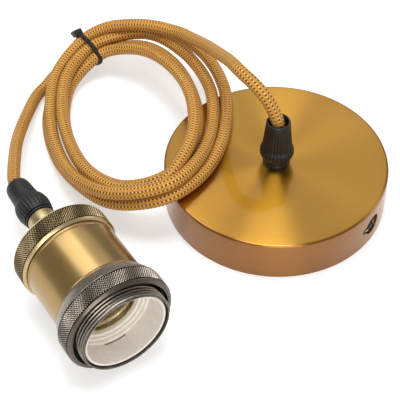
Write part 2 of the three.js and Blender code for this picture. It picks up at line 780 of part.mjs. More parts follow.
// A point of the bundle: angle round the oval, share of its width, height above its middle
function bundlePoint(angle, share, lift) {
  const r = THREE.MathUtils.lerp(oval(COIL_INNER, angle), oval(COIL_OUTER, angle), share);
  const x = COIL_CENTRE[0] + r * Math.cos(angle + rad(COIL_TURN));
  const y = COIL_CENTRE[1] + r * Math.sin(angle + rad(COIL_TURN));
  const middle = ((COIL_LAYERS - 1) * CORD_DIAMETER) / 2;
  return new THREE.Vector3(x, y, layerHeight(x) + middle + lift);
}

// The bundle of turns as one closed ring with rounded edges
function coilBundle() {
  const half = (COIL_LAYERS * CORD_DIAMETER) / 2;
  const profile = [];
  const corners = 12;
  for (let i = 0; i <= corners; i++) {
    const a = (i / corners) * 2 * Math.PI;
    const u = 0.5 + 0.5 * Math.sign(Math.cos(a)) * Math.sqrt(Math.abs(Math.cos(a)));
    const v = half * Math.sign(Math.sin(a)) * Math.sqrt(Math.abs(Math.sin(a)));
    profile.push([1 + (i % corners ? u : 1), i % corners ? v : 0]);
  }
  const geometry = turned(profile, 36);
  const at = geometry.getAttribute("position");
  for (let i = 0; i < at.count; i++) {
    const angle = Math.atan2(at.getY(i), at.getX(i));
    const share = Math.hypot(at.getX(i), at.getY(i)) - 1;
    const p = bundlePoint(angle, share, at.getZ(i));
    at.setXYZ(i, p.x, p.y, Math.max(p.z, 0));
  }
  return geometry;
}

// Cable tie: a flat strap drawn round the bundle, its square head outside
function cableTie() {
  const angle = rad(TIE_ANGLE);
  const width = bundlePoint(angle, 1, 0).distanceTo(bundlePoint(angle, 0, 0)) + 7 * FIT;
  const height = COIL_LAYERS * CORD_DIAMETER + FIT;
  const loop = (grow, corner) => {
    const x = width / 2 + grow;
    const y = height / 2 + grow;
    const path = new THREE.Path();
    path.absarc(x - corner, y - corner, corner, 0, Math.PI / 2);
    path.absarc(-x + corner, y - corner, corner, Math.PI / 2, Math.PI);
    path.absarc(-x + corner, -y + corner, corner, Math.PI, 1.5 * Math.PI);
    path.absarc(x - corner, -y + corner, corner, 1.5 * Math.PI, 2 * Math.PI);
    return path;
  };
  const shape = new THREE.Shape(loop(TIE_THICK, 3.6).getPoints(5));
  shape.holes.push(new THREE.Path(loop(0, 2.5).getPoints(5).reverse()));
  const strap = plate(shape, TIE_WIDTH);
  const headX = width / 2 + TIE_HEAD / 2 + 0.2;
  const head = block(headX, 1, 0, TIE_HEAD - 1, TIE_HEAD, TIE_HEAD - 0.4);
  const stub = block(headX + 1.2, 1 + TIE_HEAD / 2 + 1, 0, TIE_THICK, 4, TIE_WIDTH);
  return joined(strap, head, stub);
}

function buildCord() {
  const group = new THREE.Group();
  group.rotation.z = rad(COIL_BEARING);
  set.add(group);

  const canopyRun = [
    [0, 0, 39.4], [0, 0, 42.5], [-1.2, 0.7, 47], [-4.7, 3.6, 53.4], [-9.9, 8.4, 57.7],
    [-16.2, 15.6, 59.3], [-20.6, 26.9, 55.4], [-24.8, 39.4, 48.6], [-31.2, 55, 39.8],
    [-35.6, 62.8, 35.4],
  ];
  const holderRun = [
    [-112, -21.3, RING_RADIUS], [-113.5, -19, RING_RADIUS], [-115, -14.6, 23.3], [-116.1, -6.5, 21.6],
    [-117, 3.6, 18.4], [-117.9, 17.9, 13.6], [-117.3, 32.6, 9.4], [-115.2, 49, 5.8],
    [-112.3, 61.8, 3.3],
  ];
  piece(group, "cord_canopy_run", swept(canopyRun, CORD_DIAMETER, 16), copperBraid);
  piece(group, "cord_coil", coilBundle(), copperBraid);
  piece(group, "cord_holder_run", swept(holderRun, CORD_DIAMETER, 14), copperBraid);

  const angle = rad(TIE_ANGLE);
  const outward = bundlePoint(angle, 1, 0).sub(bundlePoint(angle, 0, 0)).normalize();
  const centre = bundlePoint(angle, 0.5, 0).addScaledVector(outward, -FIT);
  const along = bundlePoint(angle + 0.05, 0.5, 0).sub(bundlePoint(angle - 0.05, 0.5, 0));
  const up = new THREE.Vector3().crossVectors(outward, along).normalize();
  const tangent = new THREE.Vector3().crossVectors(outward, up);
  const tie = piece(group, "cable_tie", cableTie(), blackNylon);
  tie.applyMatrix4(new THREE.Matrix4().makeBasis(outward, up, tangent).setPosition(centre));
}

buildCanopy();
buildHolder();
buildCord();

export default set;
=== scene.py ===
"""Pendant cord set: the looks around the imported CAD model.

Working lengths are millimetres in the part's frame; the panel's sizes are metres.
"""
import math
import bmesh
import bpy
import numpy as np
from bpy.props import FloatProperty, FloatVectorProperty, IntProperty, PointerProperty
from mathutils import Matrix, Vector


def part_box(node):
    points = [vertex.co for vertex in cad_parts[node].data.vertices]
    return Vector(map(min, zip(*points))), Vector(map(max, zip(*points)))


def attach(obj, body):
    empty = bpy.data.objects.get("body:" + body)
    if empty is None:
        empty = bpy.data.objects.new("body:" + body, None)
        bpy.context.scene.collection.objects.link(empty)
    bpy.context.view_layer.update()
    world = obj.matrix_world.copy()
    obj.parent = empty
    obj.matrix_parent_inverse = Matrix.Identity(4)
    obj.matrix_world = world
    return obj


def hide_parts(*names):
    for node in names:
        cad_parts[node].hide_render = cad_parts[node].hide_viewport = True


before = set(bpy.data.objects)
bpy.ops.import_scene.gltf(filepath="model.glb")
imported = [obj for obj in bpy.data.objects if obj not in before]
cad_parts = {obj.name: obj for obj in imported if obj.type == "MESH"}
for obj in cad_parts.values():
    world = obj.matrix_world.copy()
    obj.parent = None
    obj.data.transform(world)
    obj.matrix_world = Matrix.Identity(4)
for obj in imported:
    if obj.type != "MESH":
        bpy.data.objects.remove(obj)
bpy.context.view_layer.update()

bl_info = {
    "name": "Pendant Cord Set",
    "version": (1, 0, 0),
    "blender": (4, 5, 0),
    "location": "View3D > Sidebar > Cord Set",
    "description": "Dresses a pendant cord set: braided cord, knurled lamp holder and canopy",
    "category": "Object",
}

MM = 0.001
# Free play between a piece and its seat
FIT = 0.3

# Where the pieces lie: bearings about the canopy's axis in degrees, and the holder's axis at its station 0
SCREW_BEARING = -67.35
COIL_BEARING = -32.85
HOLDER_X = -105.6
HOLDER_Y = -42.85


def linear(hex_colour):
    """A linear colour from a written sRGB one."""
    text = hex_colour.lstrip("#")
    values = [int(text[i : i + 2], 16) / 255 for i in (0, 2, 4)]
    return [v / 12.92 if v <= 0.04045 else ((v + 0.055) / 1.055) ** 2.4 for v in values] + [1.0]


# The panel's settings


def length(label, description, millimetres):
    """A length setting, shown in the scene's units."""
    return FloatProperty(
        name=label, description=description, default=millimetres * MM, min=0.0, precision=4, unit="LENGTH"
    )


def colour(label, description, hex_colour):
    """A colour setting."""
    return FloatVectorProperty(
        name=label,
        description=description,
        default=linear(hex_colour),
        size=4,
        min=0.0,
        max=1.0,
        subtype="COLOR",
    )


class CordSettings(bpy.types.PropertyGroup):
    """The braided cord and its tie."""

    diameter: length("Diameter", "Across the braid", 5.8)
    braid_pitch: length("Braid pitch", "One crossing of the bias yarns, along the cord", 1.05)
    carriers: IntProperty(name="Carriers", description="Bias yarns each way round it", default=16, min=4)
    fleck_rows: IntProperty(name="Fleck rows", description="Lengthwise rows of dark flecks", default=9, min=1)
    fleck_pitch: length("Fleck pitch", "From one fleck to the next", 1.6)
    fleck: colour("Fleck", "Dark gaps in the warp rows", "#4A1E02")
    tie_width: length("Tie width", "Width of the cable tie's strap", 2.0)
    tie_thick: length("Tie thickness", "Thickness of the cable tie's strap", 1.0)


class CanopySettings(bpy.types.PropertyGroup):
    """The ceiling canopy and what is fixed to it."""

    radius: length("Radius", "Outside radius of the cup", 50.0)
    height: length("Height", "From rim to top", 20.0)
    wall: length("Wall", "Sheet thickness", 1.5)
    crease: length("Crease", "Radius of the pressed edge", 1.2)
    stem_hole: length("Stem hole", "Radius of the hole for the grip's stem", 5.1)
    keyhole_radius: length("Keyhole radius", "Round part of a side keyhole", 4.9)
    keyhole_neck: length("Keyhole neck", "Width of a side keyhole's neck", 3.4)
    keyhole_reach: length("Keyhole reach", "From keyhole centre to the neck's end", 6.8)
    screw_height: length("Screw height", "Height of the side screws", 10.0)
    gold: colour("Gold", "Lacquered gold plate", "#CA9831")


class GripSettings(bpy.types.PropertyGroup):
    """The two cord grips."""

    ribs: IntProperty(name="Ribs", description="Moulded ribs round a grip", default=32, min=8)
    rib_depth: length("Rib depth", "How far a rib stands out", 0.22)


class HolderSettings(bpy.types.PropertyGroup):
    """The lamp holder."""

    thread_radius: length("Thread radius", "Crest of the shade thread", 20.0)
    thread_pitch: length("Thread pitch", "Pitch of the shade thread", 1.5)
    thread_depth: length("Thread depth", "Crest to root", 0.55)
    knurl_pitch: length("Knurl pitch", "From one diamond to the next, round the ring", 1.12)
    knurl_height: length("Knurl height", "How far a diamond stands out", 0.42)
    brass: colour("Brass", "Lacquered brass tube", "#AA9160")


class StageSettings(bpy.types.PropertyGroup):
    """Camera and lamps."""

    lens: FloatProperty(name="Lens", description="Focal length in millimetres", default=117.0)
    room: FloatProperty(name="Room", description="Strength of the room's own light", default=0.45, min=0.0)
    lamps: FloatProperty(name="Lamps", description="Factor on every lamp", default=1.0, min=0.0)


class CordSetSettings(bpy.types.PropertyGroup):
    """All settings of the set."""

    cord: PointerProperty(type=CordSettings)
    canopy: PointerProperty(type=CanopySettings)
    grip: PointerProperty(type=GripSettings)
    holder: PointerProperty(type=HolderSettings)
    stage: PointerProperty(type=StageSettings)


def settings():
    """The scene's settings."""
    return bpy.context.scene.cord_set


# Places


def canopy_matrix(bearing=0.0):
    """From canopy millimetres, turned by a bearing, to the part's frame in metres."""
    return Matrix.Scale(MM, 4) @ Matrix.Rotation(math.radians(bearing), 4, "Z")


def holder_matrix():
    """From holder millimetres, Z along the axis towards the mouth, to the part's frame in metres."""
    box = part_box("shade_ring")
    height = (box[0][2] + box[1][2]) / 2 / MM
    place = Matrix.Translation((HOLDER_X, HOLDER_Y, height))
    return Matrix.Scale(MM, 4) @ place @ Matrix.Rotation(math.pi / 2, 4, "X")


def back_grip_matrix():
    """From the back grip's own millimetres, its nose up, to the part's frame in metres."""
    seat = Matrix.Translation((0, 0, -66 - FIT))
    return holder_matrix() @ seat @ Matrix.Rotation(math.pi, 4, "X")


# Material parts


def join(tree, value, socket):
    """Links a node or an output to a socket, or fills it with a number or a written colour."""
    if isinstance(value, bpy.types.Node):
        value = next(output for output in value.outputs if output.enabled)
    if isinstance(value, bpy.types.NodeSocket):
        tree.links.new(value, socket)
    elif isinstance(value, str) and value.startswith("#"):
        socket.default_value = linear(value)
    else:
        socket.default_value = value


def add(tree, kind, inputs=(), stops=(), **properties):
    """Adds one node with its properties; inputs go by order or by name, and a ramp takes colour stops."""
    node = tree.nodes.new(kind if "Node" in kind else "ShaderNode" + kind)
    for name, value in properties.items():
        setattr(node, name, value)
    pairs = inputs.items() if isinstance(inputs, dict) else enumerate(inputs)
    for name, value in pairs:
        join(tree, value, node.inputs[name])
    if stops:
        elements = node.color_ramp.elements
        while len(elements) < len(stops):
            elements.new(1.0)
        for element, (position, shade) in zip(elements, stops):
            element.position = position
            element.color = linear(shade)
    return node


def principled(name, **constants):
    """A new principled material, its constants set on the shader's own sockets."""
    found = bpy.data.materials.new(name)
    found.use_nodes = True
    tree = found.node_tree
    shader = tree.nodes["Principled BSDF"]
    for key, value in constants.items():
        join(tree, value, shader.inputs[key.replace("_", " ")])
    return found, tree, shader


def mottle(tree, size, detail=3.0):
    """An even mottle over the piece, its patches this many millimetres across."""
    place = add(tree, "TexCoord").outputs["Object"]
    return add(tree, "TexNoise", {"Vector": place, "Scale": 1 / (size * MM), "Detail": detail})


def streaks(tree, distance, size, detail=3.0):
    """Streaks across one distance in metres, each this many millimetres wide."""
    place = add(tree, "Math", [distance, size * MM], operation="DIVIDE")
    return add(tree, "TexNoise", {"W": place, "Scale": 1.0, "Detail": detail}, noise_dimensions="1D")


def dress(tree, shader, shade, height, depth, strength):
    """Gives the shader its colour and a relief this many millimetres deep."""
    join(tree, shade, shader.inputs["Base Color"])
    relief = add(tree, "Bump", {"Height": height, "Distance": depth * MM, "Strength": strength})
    join(tree, relief, shader.inputs["Normal"])


# Materials: sizes are millimetres

MIXED = {"data_type": "RGBA"}
TINTED = {"data_type": "RGBA", "blend_type": "MULTIPLY"}


def spun_gold_plate():
    """Gold-plated steel, brushed while it spun, then lacquered.

    The brush lines run round the axis, so that a lamp draws wedges of light on the top, and the
    lacquer adds a faint sharp reflection. The pressed wall is painted a deeper colour than the top:
    this is painted shade.
    """
    found, tree, shader = principled(
        "spun_gold_plate",
        Metallic=1.0,
        Roughness=0.29,
        Anisotropic=0.95,
        Anisotropic_Rotation=0.25,
        Coat_Weight=0.6,
        Coat_Roughness=0.03,
    )
    # Real brush lines are about 0.05 mm wide, too fine to show, so they are drawn wider
    brush_line, cloud = 0.385, 36.0
    # Where the painted shade of the wall begins and where it is full, in millimetres in from the rim
    wall_shade_start, wall_shade_full = 1.5, 0.2
    sizes = settings().canopy
    place = add(tree, "SeparateXYZ", [add(tree, "TexCoord").outputs["Object"]]).outputs
    flat = add(tree, "CombineXYZ", [place[0], place[1]])
    radius = add(tree, "VectorMath", [flat], operation="LENGTH")
    rings = streaks(tree, radius, brush_line)
    fine = add(tree, "ValToRGB", [rings], [(0.0, "#B5B5B5"), (1.0, "#FFFFFF")])
    broad = add(tree, "ValToRGB", [mottle(tree, cloud, 1.0)], [(0.0, "#E4D8CC"), (1.0, "#FFFFFF")])
    limits = {
        "Value": radius,
        "From Min": sizes.radius - wall_shade_start * MM,
        "From Max": sizes.radius - wall_shade_full * MM,
        "To Min": 0.0,
        "To Max": 0.8,
    }
    # Painted shade: towards the rim's radius the gold is mixed to a deeper brown, so that the pressed wall
    # reads darker than the top
    wall = add(tree, "MapRange", limits)
    plate = add(tree, "Mix", {0: wall, 6: tuple(sizes.gold), 7: "#975C22"}, **MIXED)
    clouded = add(tree, "Mix", {0: 1.0, 6: plate, 7: broad}, **TINTED)
    brushed = add(tree, "Mix", {0: 0.35, 6: clouded, 7: fine}, **TINTED)
    dress(tree, shader, brushed, rings, 0.004, 0.5)
    join(tree, add(tree, "Tangent", direction_type="RADIAL", axis="Z"), shader.inputs["Tangent"])
    return found


def satin_brass():
    """Brass tube, satin-polished round its girth and lacquered.

    The polish gives fine streaks round the tube and a long soft glare along it.
    """
    found, tree, shader = principled(
        "satin_brass", Metallic=1.0, Roughness=0.3, Coat_Weight=0.2, Coat_Roughness=0.12
    )
    # Real polishing streaks are about 0.03 mm wide, too fine to show, so they are drawn wider
    streak, stain = 0.333, 17.0
    place = add(tree, "SeparateXYZ", [add(tree, "TexCoord").outputs["Object"]]).outputs
    grain = streaks(tree, place[1], streak, 2.0)
    tint = add(tree, "ValToRGB", [mottle(tree, stain, 2.0)], [(0.0, "#EFE2CC"), (1.0, "#FFFFFF")])
    base = add(tree, "Mix", {0: 1.0, 6: tuple(settings().holder.brass), 7: tint}, **TINTED)
    share = add(tree, "Math", [grain, 0.16], operation="MULTIPLY")
    streaked = add(tree, "Mix", {0: share, 6: base, 7: "#8A6C38"}, **MIXED)
    dress(tree, shader, streaked, grain, 0.002, 0.3)
    limits = {"Value": grain, "From Min": 0.3, "From Max": 0.7, "To Min": 0.28, "To Max": 0.33}
    join(tree, add(tree, "MapRange", limits), shader.inputs["Roughness"])
    return found


def blackened_metal(name, deep, mid, bright, roughness):
    """Knurled or threaded metal, blackened in a bath and rubbed back.

    It is dark in the cuts and bright on the raised edges, as the mesh's own worn attribute says.
    """
    found, tree, shader = principled(name, Metallic=1.0, Roughness=roughness)
    fleck = 1.1
    rub = add(tree, "Attribute", attribute_name="worn").outputs["Fac"]
    speck = add(tree, "Math", [mottle(tree, fleck), 0.5], operation="SUBTRACT")
    level = add(tree, "Math", [speck, 0.35, rub], operation="MULTIPLY_ADD")
    shade = add(tree, "ValToRGB", [level], [(0.0, deep), (0.5, mid), (1.0, bright)])
    dress(tree, shader, shade, speck, 0.01, 0.3)
    return found


def plain_metal(name, dark, light, roughness):
    """Plated or stamped metal: an even satin shine with a faint mottle."""
    found, tree, shader = principled(name, Metallic=1.0, Roughness=roughness)
    spangle = 1.4
    speck = mottle(tree, spangle, 4.0)
    shade = add(tree, "ValToRGB", [speck], [(0.35, dark), (0.65, light)])
    dress(tree, shader, shade, speck, 0.01, 0.3)
    return found


def moulded(name, dark, light, roughness, depth, grain):
    """Moulded plastic or glazed ceramic, with the fine grain of its mould or glaze."""
    found, tree, shader = principled(name, Metallic=0.0, Roughness=roughness)
    speck = mottle(tree, grain)
    shade = add(tree, "ValToRGB", [speck], [(0.35, dark), (0.65, light)])
    dress(tree, shader, shade, speck, depth, 0.6)
    return found


def braided_rayon():
    """Braided rayon sleeve: gold yarns cross on the bias and shine like silk.

    Rows of bright beads and dark flecks run along it. The cord's own map holds millimetres along
    it in U and turns round it in V.
    """
    sizes = settings().cord
    found, tree, shader = principled(
        "braided_rayon", Metallic=0.35, Roughness=0.42, Specular_IOR_Level=0.6, Specular_Tint="#F4CE8C"
    )
    row_half, fleck_half = 0.2, 0.28
    drift_length = 20.0
    place = add(tree, "SeparateXYZ", [add(tree, "UVMap", uv_map="cord")]).outputs
    along = add(tree, "Math", [place[0], MM], operation="MULTIPLY")
    around = place[1]
    lift = add(tree, "Math", [along, sizes.braid_pitch], operation="DIVIDE")
    turns = add(tree, "Math", [around, float(sizes.carriers)], operation="MULTIPLY")
    waves = []
    for way in ("ADD", "SUBTRACT"):
        crossing = add(tree, "Math", [lift, turns], operation=way)
        angle = add(tree, "Math", [crossing, 2 * math.pi], operation="MULTIPLY")
        waves.append(add(tree, "Math", [angle], operation="SINE"))
    product = add(tree, "Math", waves, operation="MULTIPLY")
    weave = add(tree, "Math", [product, 0.5, 0.5], operation="MULTIPLY_ADD")
    rows = add(tree, "Math", [around, float(sizes.fleck_rows)], operation="MULTIPLY")
    beats = add(tree, "Math", [along, sizes.fleck_pitch], operation="DIVIDE")
    row = add(tree, "Math", [rows], operation="FRACT")
    beat = add(tree, "Math", [beats], operation="FRACT")
    in_row = add(tree, "Math", [row, 0.5, row_half], operation="COMPARE")
    dark = add(tree, "Math", [beat, 0.5, fleck_half], operation="COMPARE")
    fleck = add(tree, "Math", [in_row, dark], operation="MULTIPLY")
    bead = add(tree, "Math", [in_row, fleck], operation="SUBTRACT")
    # The yarn's colour follows the weave's height: painted shade in the low valleys between crossings and a
    # painted highlight on the raised crossings
    yarn_and_painted_shade = add(tree, "ValToRGB", [weave], [(0.05, "#88470C"), (0.5, "#D08E34"), (0.95, "#FACA70")])
    bead_share = add(tree, "Math", [bead, 0.7], operation="MULTIPLY")
    lit = add(tree, "Mix", {0: bead_share, 6: yarn_and_painted_shade, 7: "#FFE09A"}, **MIXED)
    drift = add(tree, "Math", [streaks(tree, along, drift_length, 1.0), 0.25], operation="MULTIPLY")
    warm = add(tree, "Mix", {0: drift, 6: lit, 7: "#C07820"}, **MIXED)
    fleck_share = add(tree, "Math", [fleck, 0.85], operation="MULTIPLY")
    flecked = add(tree, "Mix", {0: fleck_share, 6: warm, 7: tuple(sizes.fleck)}, **MIXED)
    raised = add(tree, "Math", [bead, 0.6, weave], operation="MULTIPLY_ADD")
    height = add(tree, "Math", [raised, fleck], operation="SUBTRACT")
    dress(tree, shader, flecked, height, 0.16, 0.9)
    return found


def extruded_vinyl(name, shade, stripe=None):
    """Extruded PVC wire insulation: smooth and softly shiny, striped lengthwise on the earth core."""
    found, tree, shader = principled(name, Metallic=0.0, Roughness=0.4, Base_Color=shade)
    if stripe:
        place = add(tree, "SeparateXYZ", [add(tree, "UVMap", uv_map="cord")])
        turns = add(tree, "Math", [place.outputs[1], 2.0], operation="MULTIPLY")
        half = add(tree, "Math", [turns], operation="FRACT")
        band = add(tree, "Math", [half, 0.5], operation="GREATER_THAN")
        striped = add(tree, "Mix", {0: band, 6: shade, 7: stripe}, **MIXED)
        join(tree, striped, shader.inputs["Base Color"])
    return found


# Each slot of the part and what it is made of
MAKERS = {
    "brushed_gold": spun_gold_plate,
    "satin_brass": satin_brass,
    # Brass, blackened and rubbed back: warm on the crests
    "dark_bronze": lambda: blackened_metal("blackened_brass", "#1C1712", "#5A4D39", "#C4AE84", 0.32),
    # Nickel-plated steel, blackened and rubbed back: grey on the crests
    "gunmetal": lambda: blackened_metal("blackened_nickel", "#1E1B18", "#6A6259", "#CFC6B8", 0.32),
    # Thin stamped brass, pale from its nickel flash
    "contact_brass": lambda: plain_metal("stamped_brass", "#C9B794", "#E0D2B4", 0.3),
    "zinc_steel": lambda: plain_metal("zinc_plated_steel", "#A8ABAF", "#C8CBCE", 0.35),
    "black_steel": lambda: plain_metal("black_oxide_steel", "#0A0A0C", "#1A1A1E", 0.42),
    # Nylon from a spark-eroded mould: matt black
    "black_nylon": lambda: moulded("moulded_black_nylon", "#050405", "#0D0B0C", 0.5, 0.05, 0.67),
    # Glazed porcelain: off-white, smooth and shiny
    "white_ceramic": lambda: moulded("glazed_porcelain", "#EDE5DA", "#F4EDE4", 0.28, 0.01, 2.5),
    "white_nylon": lambda: moulded("moulded_white_nylon", "#E6E2D8", "#F0ECE4", 0.45, 0.05, 0.67),
    "copper_braid": braided_rayon,
    "live_brown": lambda: extruded_vinyl("brown_vinyl", "#5B3420"),
    "neutral_blue": lambda: extruded_vinyl("blue_vinyl", "#2C5F9C"),
    "earth_green": lambda: extruded_vinyl("striped_vinyl", "#3F8A34", "#E2D23C"),
}


LIBRARY = {}


def finish_of(slot):
    """The material of one of the record's slots, made once."""
    if slot not in LIBRARY:
        LIBRARY[slot] = MAKERS[slot]()
    return LIBRARY[slot]


# Meshes


def link_mesh(name, mesh, slot):
    """An object at the origin for a mesh, in its slot's finish."""
    thing = bpy.data.objects.new(name, mesh)
    bpy.context.scene.collection.objects.link(thing)
    mesh.materials.clear()
    mesh.materials.append(finish_of(slot))
    return thing


def smooth_mesh(mesh, sharp):
    """Joins seams, turns the faces outward and shades by angle."""
    body = bmesh.new()
    body.from_mesh(mesh)
    bmesh.ops.remove_doubles(body, verts=body.verts, dist=2e-7)
    bmesh.ops.recalc_face_normals(body, faces=body.faces)
    body.to_mesh(mesh)
    body.free()
    mesh.shade_smooth()
    mesh.set_sharp_from_angle(angle=math.radians(sharp))


def solid(name, vertices, faces, slot, matrix, sharp=35.0):
    """An object from points and faces."""
    mesh = bpy.data.meshes.new(name)
    mesh.from_pydata([tuple(v) for v in vertices], [], [tuple(f) for f in faces])
    mesh.transform(matrix)
    smooth_mesh(mesh, sharp)
    return link_mesh(name, mesh, slot)


def settle_in(thing, slot, *nodes):
    """Lets a piece ride on the part and stand for its nodes; the slot is not used."""
    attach(thing, "root")
    if nodes:
        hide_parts(*nodes)
    return thing


def rounded(profile, radius=0.3, steps=3):
    """A [radius, height] profile with its corners rounded; a point's third number overrides."""
    closed = tuple(profile[0][:2]) == tuple(profile[-1][:2])
    points = profile[:-1] if closed else profile
    points = [p for i, p in enumerate(points) if i == 0 or p[:2] != points[i - 1][:2]]
    count = len(points)
    out = []
    for i, point in enumerate(points):
        here = Vector(point[:2])
        size = point[2] if len(point) > 2 else radius
        if size <= 0 or (not closed and i in (0, count - 1)):
            out.append(tuple(here))
            continue
        before = Vector(points[i - 1][:2]) - here
        after = Vector(points[(i + 1) % count][:2]) - here
        reach = size / max(math.tan(before.angle(after) / 2), 1e-3)
        reach = min(reach, before.length * 0.45, after.length * 0.45)
        start = here + before.normalized() * reach
        end = here + after.normalized() * reach
        for k in range(steps + 1):
            t = k / steps
            out.append(tuple(start.lerp(here, t).lerp(here.lerp(end, t), t)))
    return out + out[:1] if closed else out


def lathe(name, profile, slot, matrix, sides=160, shape=None, sharp=35.0):
    """A turned piece: its profile spun about Z; shape may move each ring's points."""
    closed = tuple(profile[0]) == tuple(profile[-1])
    rings = profile[:-1] if closed else profile
    angles = np.linspace(0, 2 * math.pi, sides, endpoint=False)
    vertices = []
    for r, z in rings:
        for a in angles:
            moved = shape(r, z, a) if shape else r
            vertices.append((moved * math.cos(a), moved * math.sin(a), z))
    faces = []
    count = len(rings)
    for i in range(count if closed else count - 1):
        j = (i + 1) % count
        for k in range(sides):
            m = (k + 1) % sides
            faces.append((i * sides + k, i * sides + m, j * sides + m, j * sides + k))
    return solid(name, vertices, faces, slot, matrix, sharp)


def mark_worn(thing, matrix, level):
    """Stores how far each point is rubbed bright, from its radius and height."""
    attribute = thing.data.attributes.new("worn", "FLOAT", "POINT")
    back = matrix.inverted()
    for vertex, value in zip(thing.data.vertices, attribute.data):
        p = back @ vertex.co
        value.value = level(math.hypot(p.x, p.y), p.z)


def baked(thing):
    """Applies an object's modifiers for good."""
    graph = bpy.context.evaluated_depsgraph_get()
    mesh = bpy.data.meshes.new_from_object(thing.evaluated_get(graph))
    thing.modifiers.clear()
    thing.data = mesh
    return thing


def carve(thing, cutters, sharp=35.0):
    """Cuts other objects out of one, and removes them."""
    for cutter in cutters:
        modifier = thing.modifiers.new("cut", "BOOLEAN")
        modifier.operation = "DIFFERENCE"
        modifier.solver = "EXACT"
        modifier.object = cutter
    baked(thing)
    for cutter in cutters:
        bpy.data.objects.remove(cutter)
    thing.data.shade_smooth()
    thing.data.set_sharp_from_angle(angle=math.radians(sharp))
    return thing


def rounded_box(name, centre, size, bevel, slot, matrix):
    """A box with rounded edges."""
    body = bmesh.new()
    bmesh.ops.create_cube(body, size=1.0)
    bmesh.ops.scale(body, vec=size, verts=body.verts)
    if bevel:
        bmesh.ops.bevel(body, geom=body.edges, offset=bevel, segments=3, affect="EDGES", profile=0.5)
    bmesh.ops.translate(body, vec=centre, verts=body.verts)
    mesh = bpy.data.meshes.new(name)
    body.to_mesh(mesh)
    body.free()
    mesh.transform(matrix)
    smooth_mesh(mesh, 50)
    return link_mesh(name, mesh, slot)


def softened(name, node, slot, bevel):
    """A copy of a CAD solid with its flats made whole and its edges broken."""
    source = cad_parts[node]
    mesh = source.data.copy()
    mesh.transform(source.matrix_world)
    body = bmesh.new()
    body.from_mesh(mesh)
    bmesh.ops.remove_doubles(body, verts=body.verts, dist=1e-6)
    bmesh.ops.dissolve_limit(body, angle_limit=math.radians(1), verts=body.verts, edges=body.edges)
    body.to_mesh(mesh)
    body.free()
    thing = link_mesh(name, mesh, slot)
    modifier = thing.modifiers.new("edges", "BEVEL")
    modifier.width = bevel * MM
    modifier.segments = 2
    modifier.limit_method = "ANGLE"
    modifier.angle_limit = math.radians(40)
    baked(thing)
    thing.data.shade_smooth()
    thing.data.set_sharp_from_angle(angle=math.radians(35))
    return settle_in(thing, slot, node)


def even_curve(points, step):
    """Points at an even spacing along a smooth curve through the given ones."""
    p = np.array(points, float)
    p = np.vstack([2 * p[0] - p[1], p, 2 * p[-1] - p[-2]])
    parts = []
    for i in range(1, len(p) - 2):
        a, b, c, d = p[i - 1 : i + 3]
        k = np.cumsum([0] + [np.linalg.norm(e) ** 0.5 for e in (b - a, c - b, d - c)])
        count = max(2, int(np.linalg.norm(c - b) / step * 3))
        t = np.linspace(k[1], k[2], count, endpoint=False)[:, None]
        first = (k[1] - t) / (k[1] - k[0]) * a + (t - k[0]) / (k[1] - k[0]) * b
        second = (k[2] - t) / (k[2] - k[1]) * b + (t - k[1]) / (k[2] - k[1]) * c
        third = (k[3] - t) / (k[3] - k[2]) * c + (t - k[2]) / (k[3] - k[2]) * d
        low = (k[2] - t) / (k[2] - k[0]) * first + (t - k[0]) / (k[2] - k[0]) * second
        high = (k[3] - t) / (k[3] - k[1]) * second + (t - k[1]) / (k[3] - k[1]) * third
        parts.append((k[2] - t) / (k[2] - k[1]) * low + (t - k[1]) / (k[2] - k[1]) * high)
    q = np.vstack(parts + [p[-2:-1]])
    s = np.concatenate([[0], np.cumsum(np.linalg.norm(np.diff(q, axis=0), axis=1))])
    grid = np.linspace(0, s[-1], int(round(s[-1] / step)) + 1)
    return np.stack([np.interp(grid, s, q[:, axis]) for axis in range(3)], axis=1)


def tube(name, line, radius, slot, sides=20):
    """A round tube along points in metres; its map holds millimetres along and turns round."""
    line = np.asarray(line, float)
    tangents = np.gradient(line, axis=0)
    tangents /= np.linalg.norm(tangents, axis=1)[:, None]
    side = np.cross(tangents[0], (0.31, 0.95, 0.12))
    frames = []
    for t in tangents:
        side = side - t * (side @ t)
        side /= np.linalg.norm(side)
        frames.append(side)
    frames = np.array(frames)
    other = np.cross(tangents, frames)
    angles = np.linspace(0, 2 * math.pi, sides, endpoint=False)
    rim = np.cos(angles)[None, :, None] * frames[:, None] + np.sin(angles)[None, :, None] * other[:, None]
    vertices = (line[:, None] + radius * rim).reshape(-1, 3)
    count = len(line)
    faces = []
    for i in range(count - 1):
        for k in range(sides):
            m = (k + 1) % sides
            faces.append((i * sides + k, i * sides + m, (i + 1) * sides + m, (i + 1) * sides + k))
    faces.append(tuple(range(sides))[::-1])
    faces.append(tuple((count - 1) * sides + k for k in range(sides)))
    mesh = bpy.data.meshes.new(name)
    mesh.from_pydata(vertices.tolist(), [], faces)
    mesh.shade_smooth()
    distance = np.concatenate([[0], np.cumsum(np.linalg.norm(np.diff(line, axis=0), axis=1))]) / MM
    corner = np.zeros(len(mesh.loops), int)
    mesh.loops.foreach_get("vertex_index", corner)
    ring, place = corner // sides, corner % sides
    turn = place / sides
    quads = (count - 1) * sides * 4
    wraps = np.repeat(np.arange(quads // 4) % sides == sides - 1, 4)
    turn[:quads] = np.where(wraps & (place[:quads] == 0), 1.0, turn[:quads])
    layer = mesh.uv_layers.new(name="cord")
    layer.data.foreach_set("uv", np.stack([distance[ring], turn], 1).astype(np.float32).ravel())
    return link_mesh(name, mesh, slot)


# Geometry node trees, each baked into its piece


def new_tree(name, sockets):
    """A geometry node tree with named inputs, and its group input's outputs."""
    tree = bpy.data.node_groups.new(name, "GeometryNodeTree")
    tree.interface.new_socket("Geometry", in_out="OUTPUT", socket_type="NodeSocketGeometry")
    for label, kind, value in sockets:
        socket = tree.interface.new_socket(label, in_out="INPUT", socket_type="NodeSocket" + kind)
        if value is not None:
            socket.default_value = value
    return tree, add(tree, "NodeGroupInput").outputs


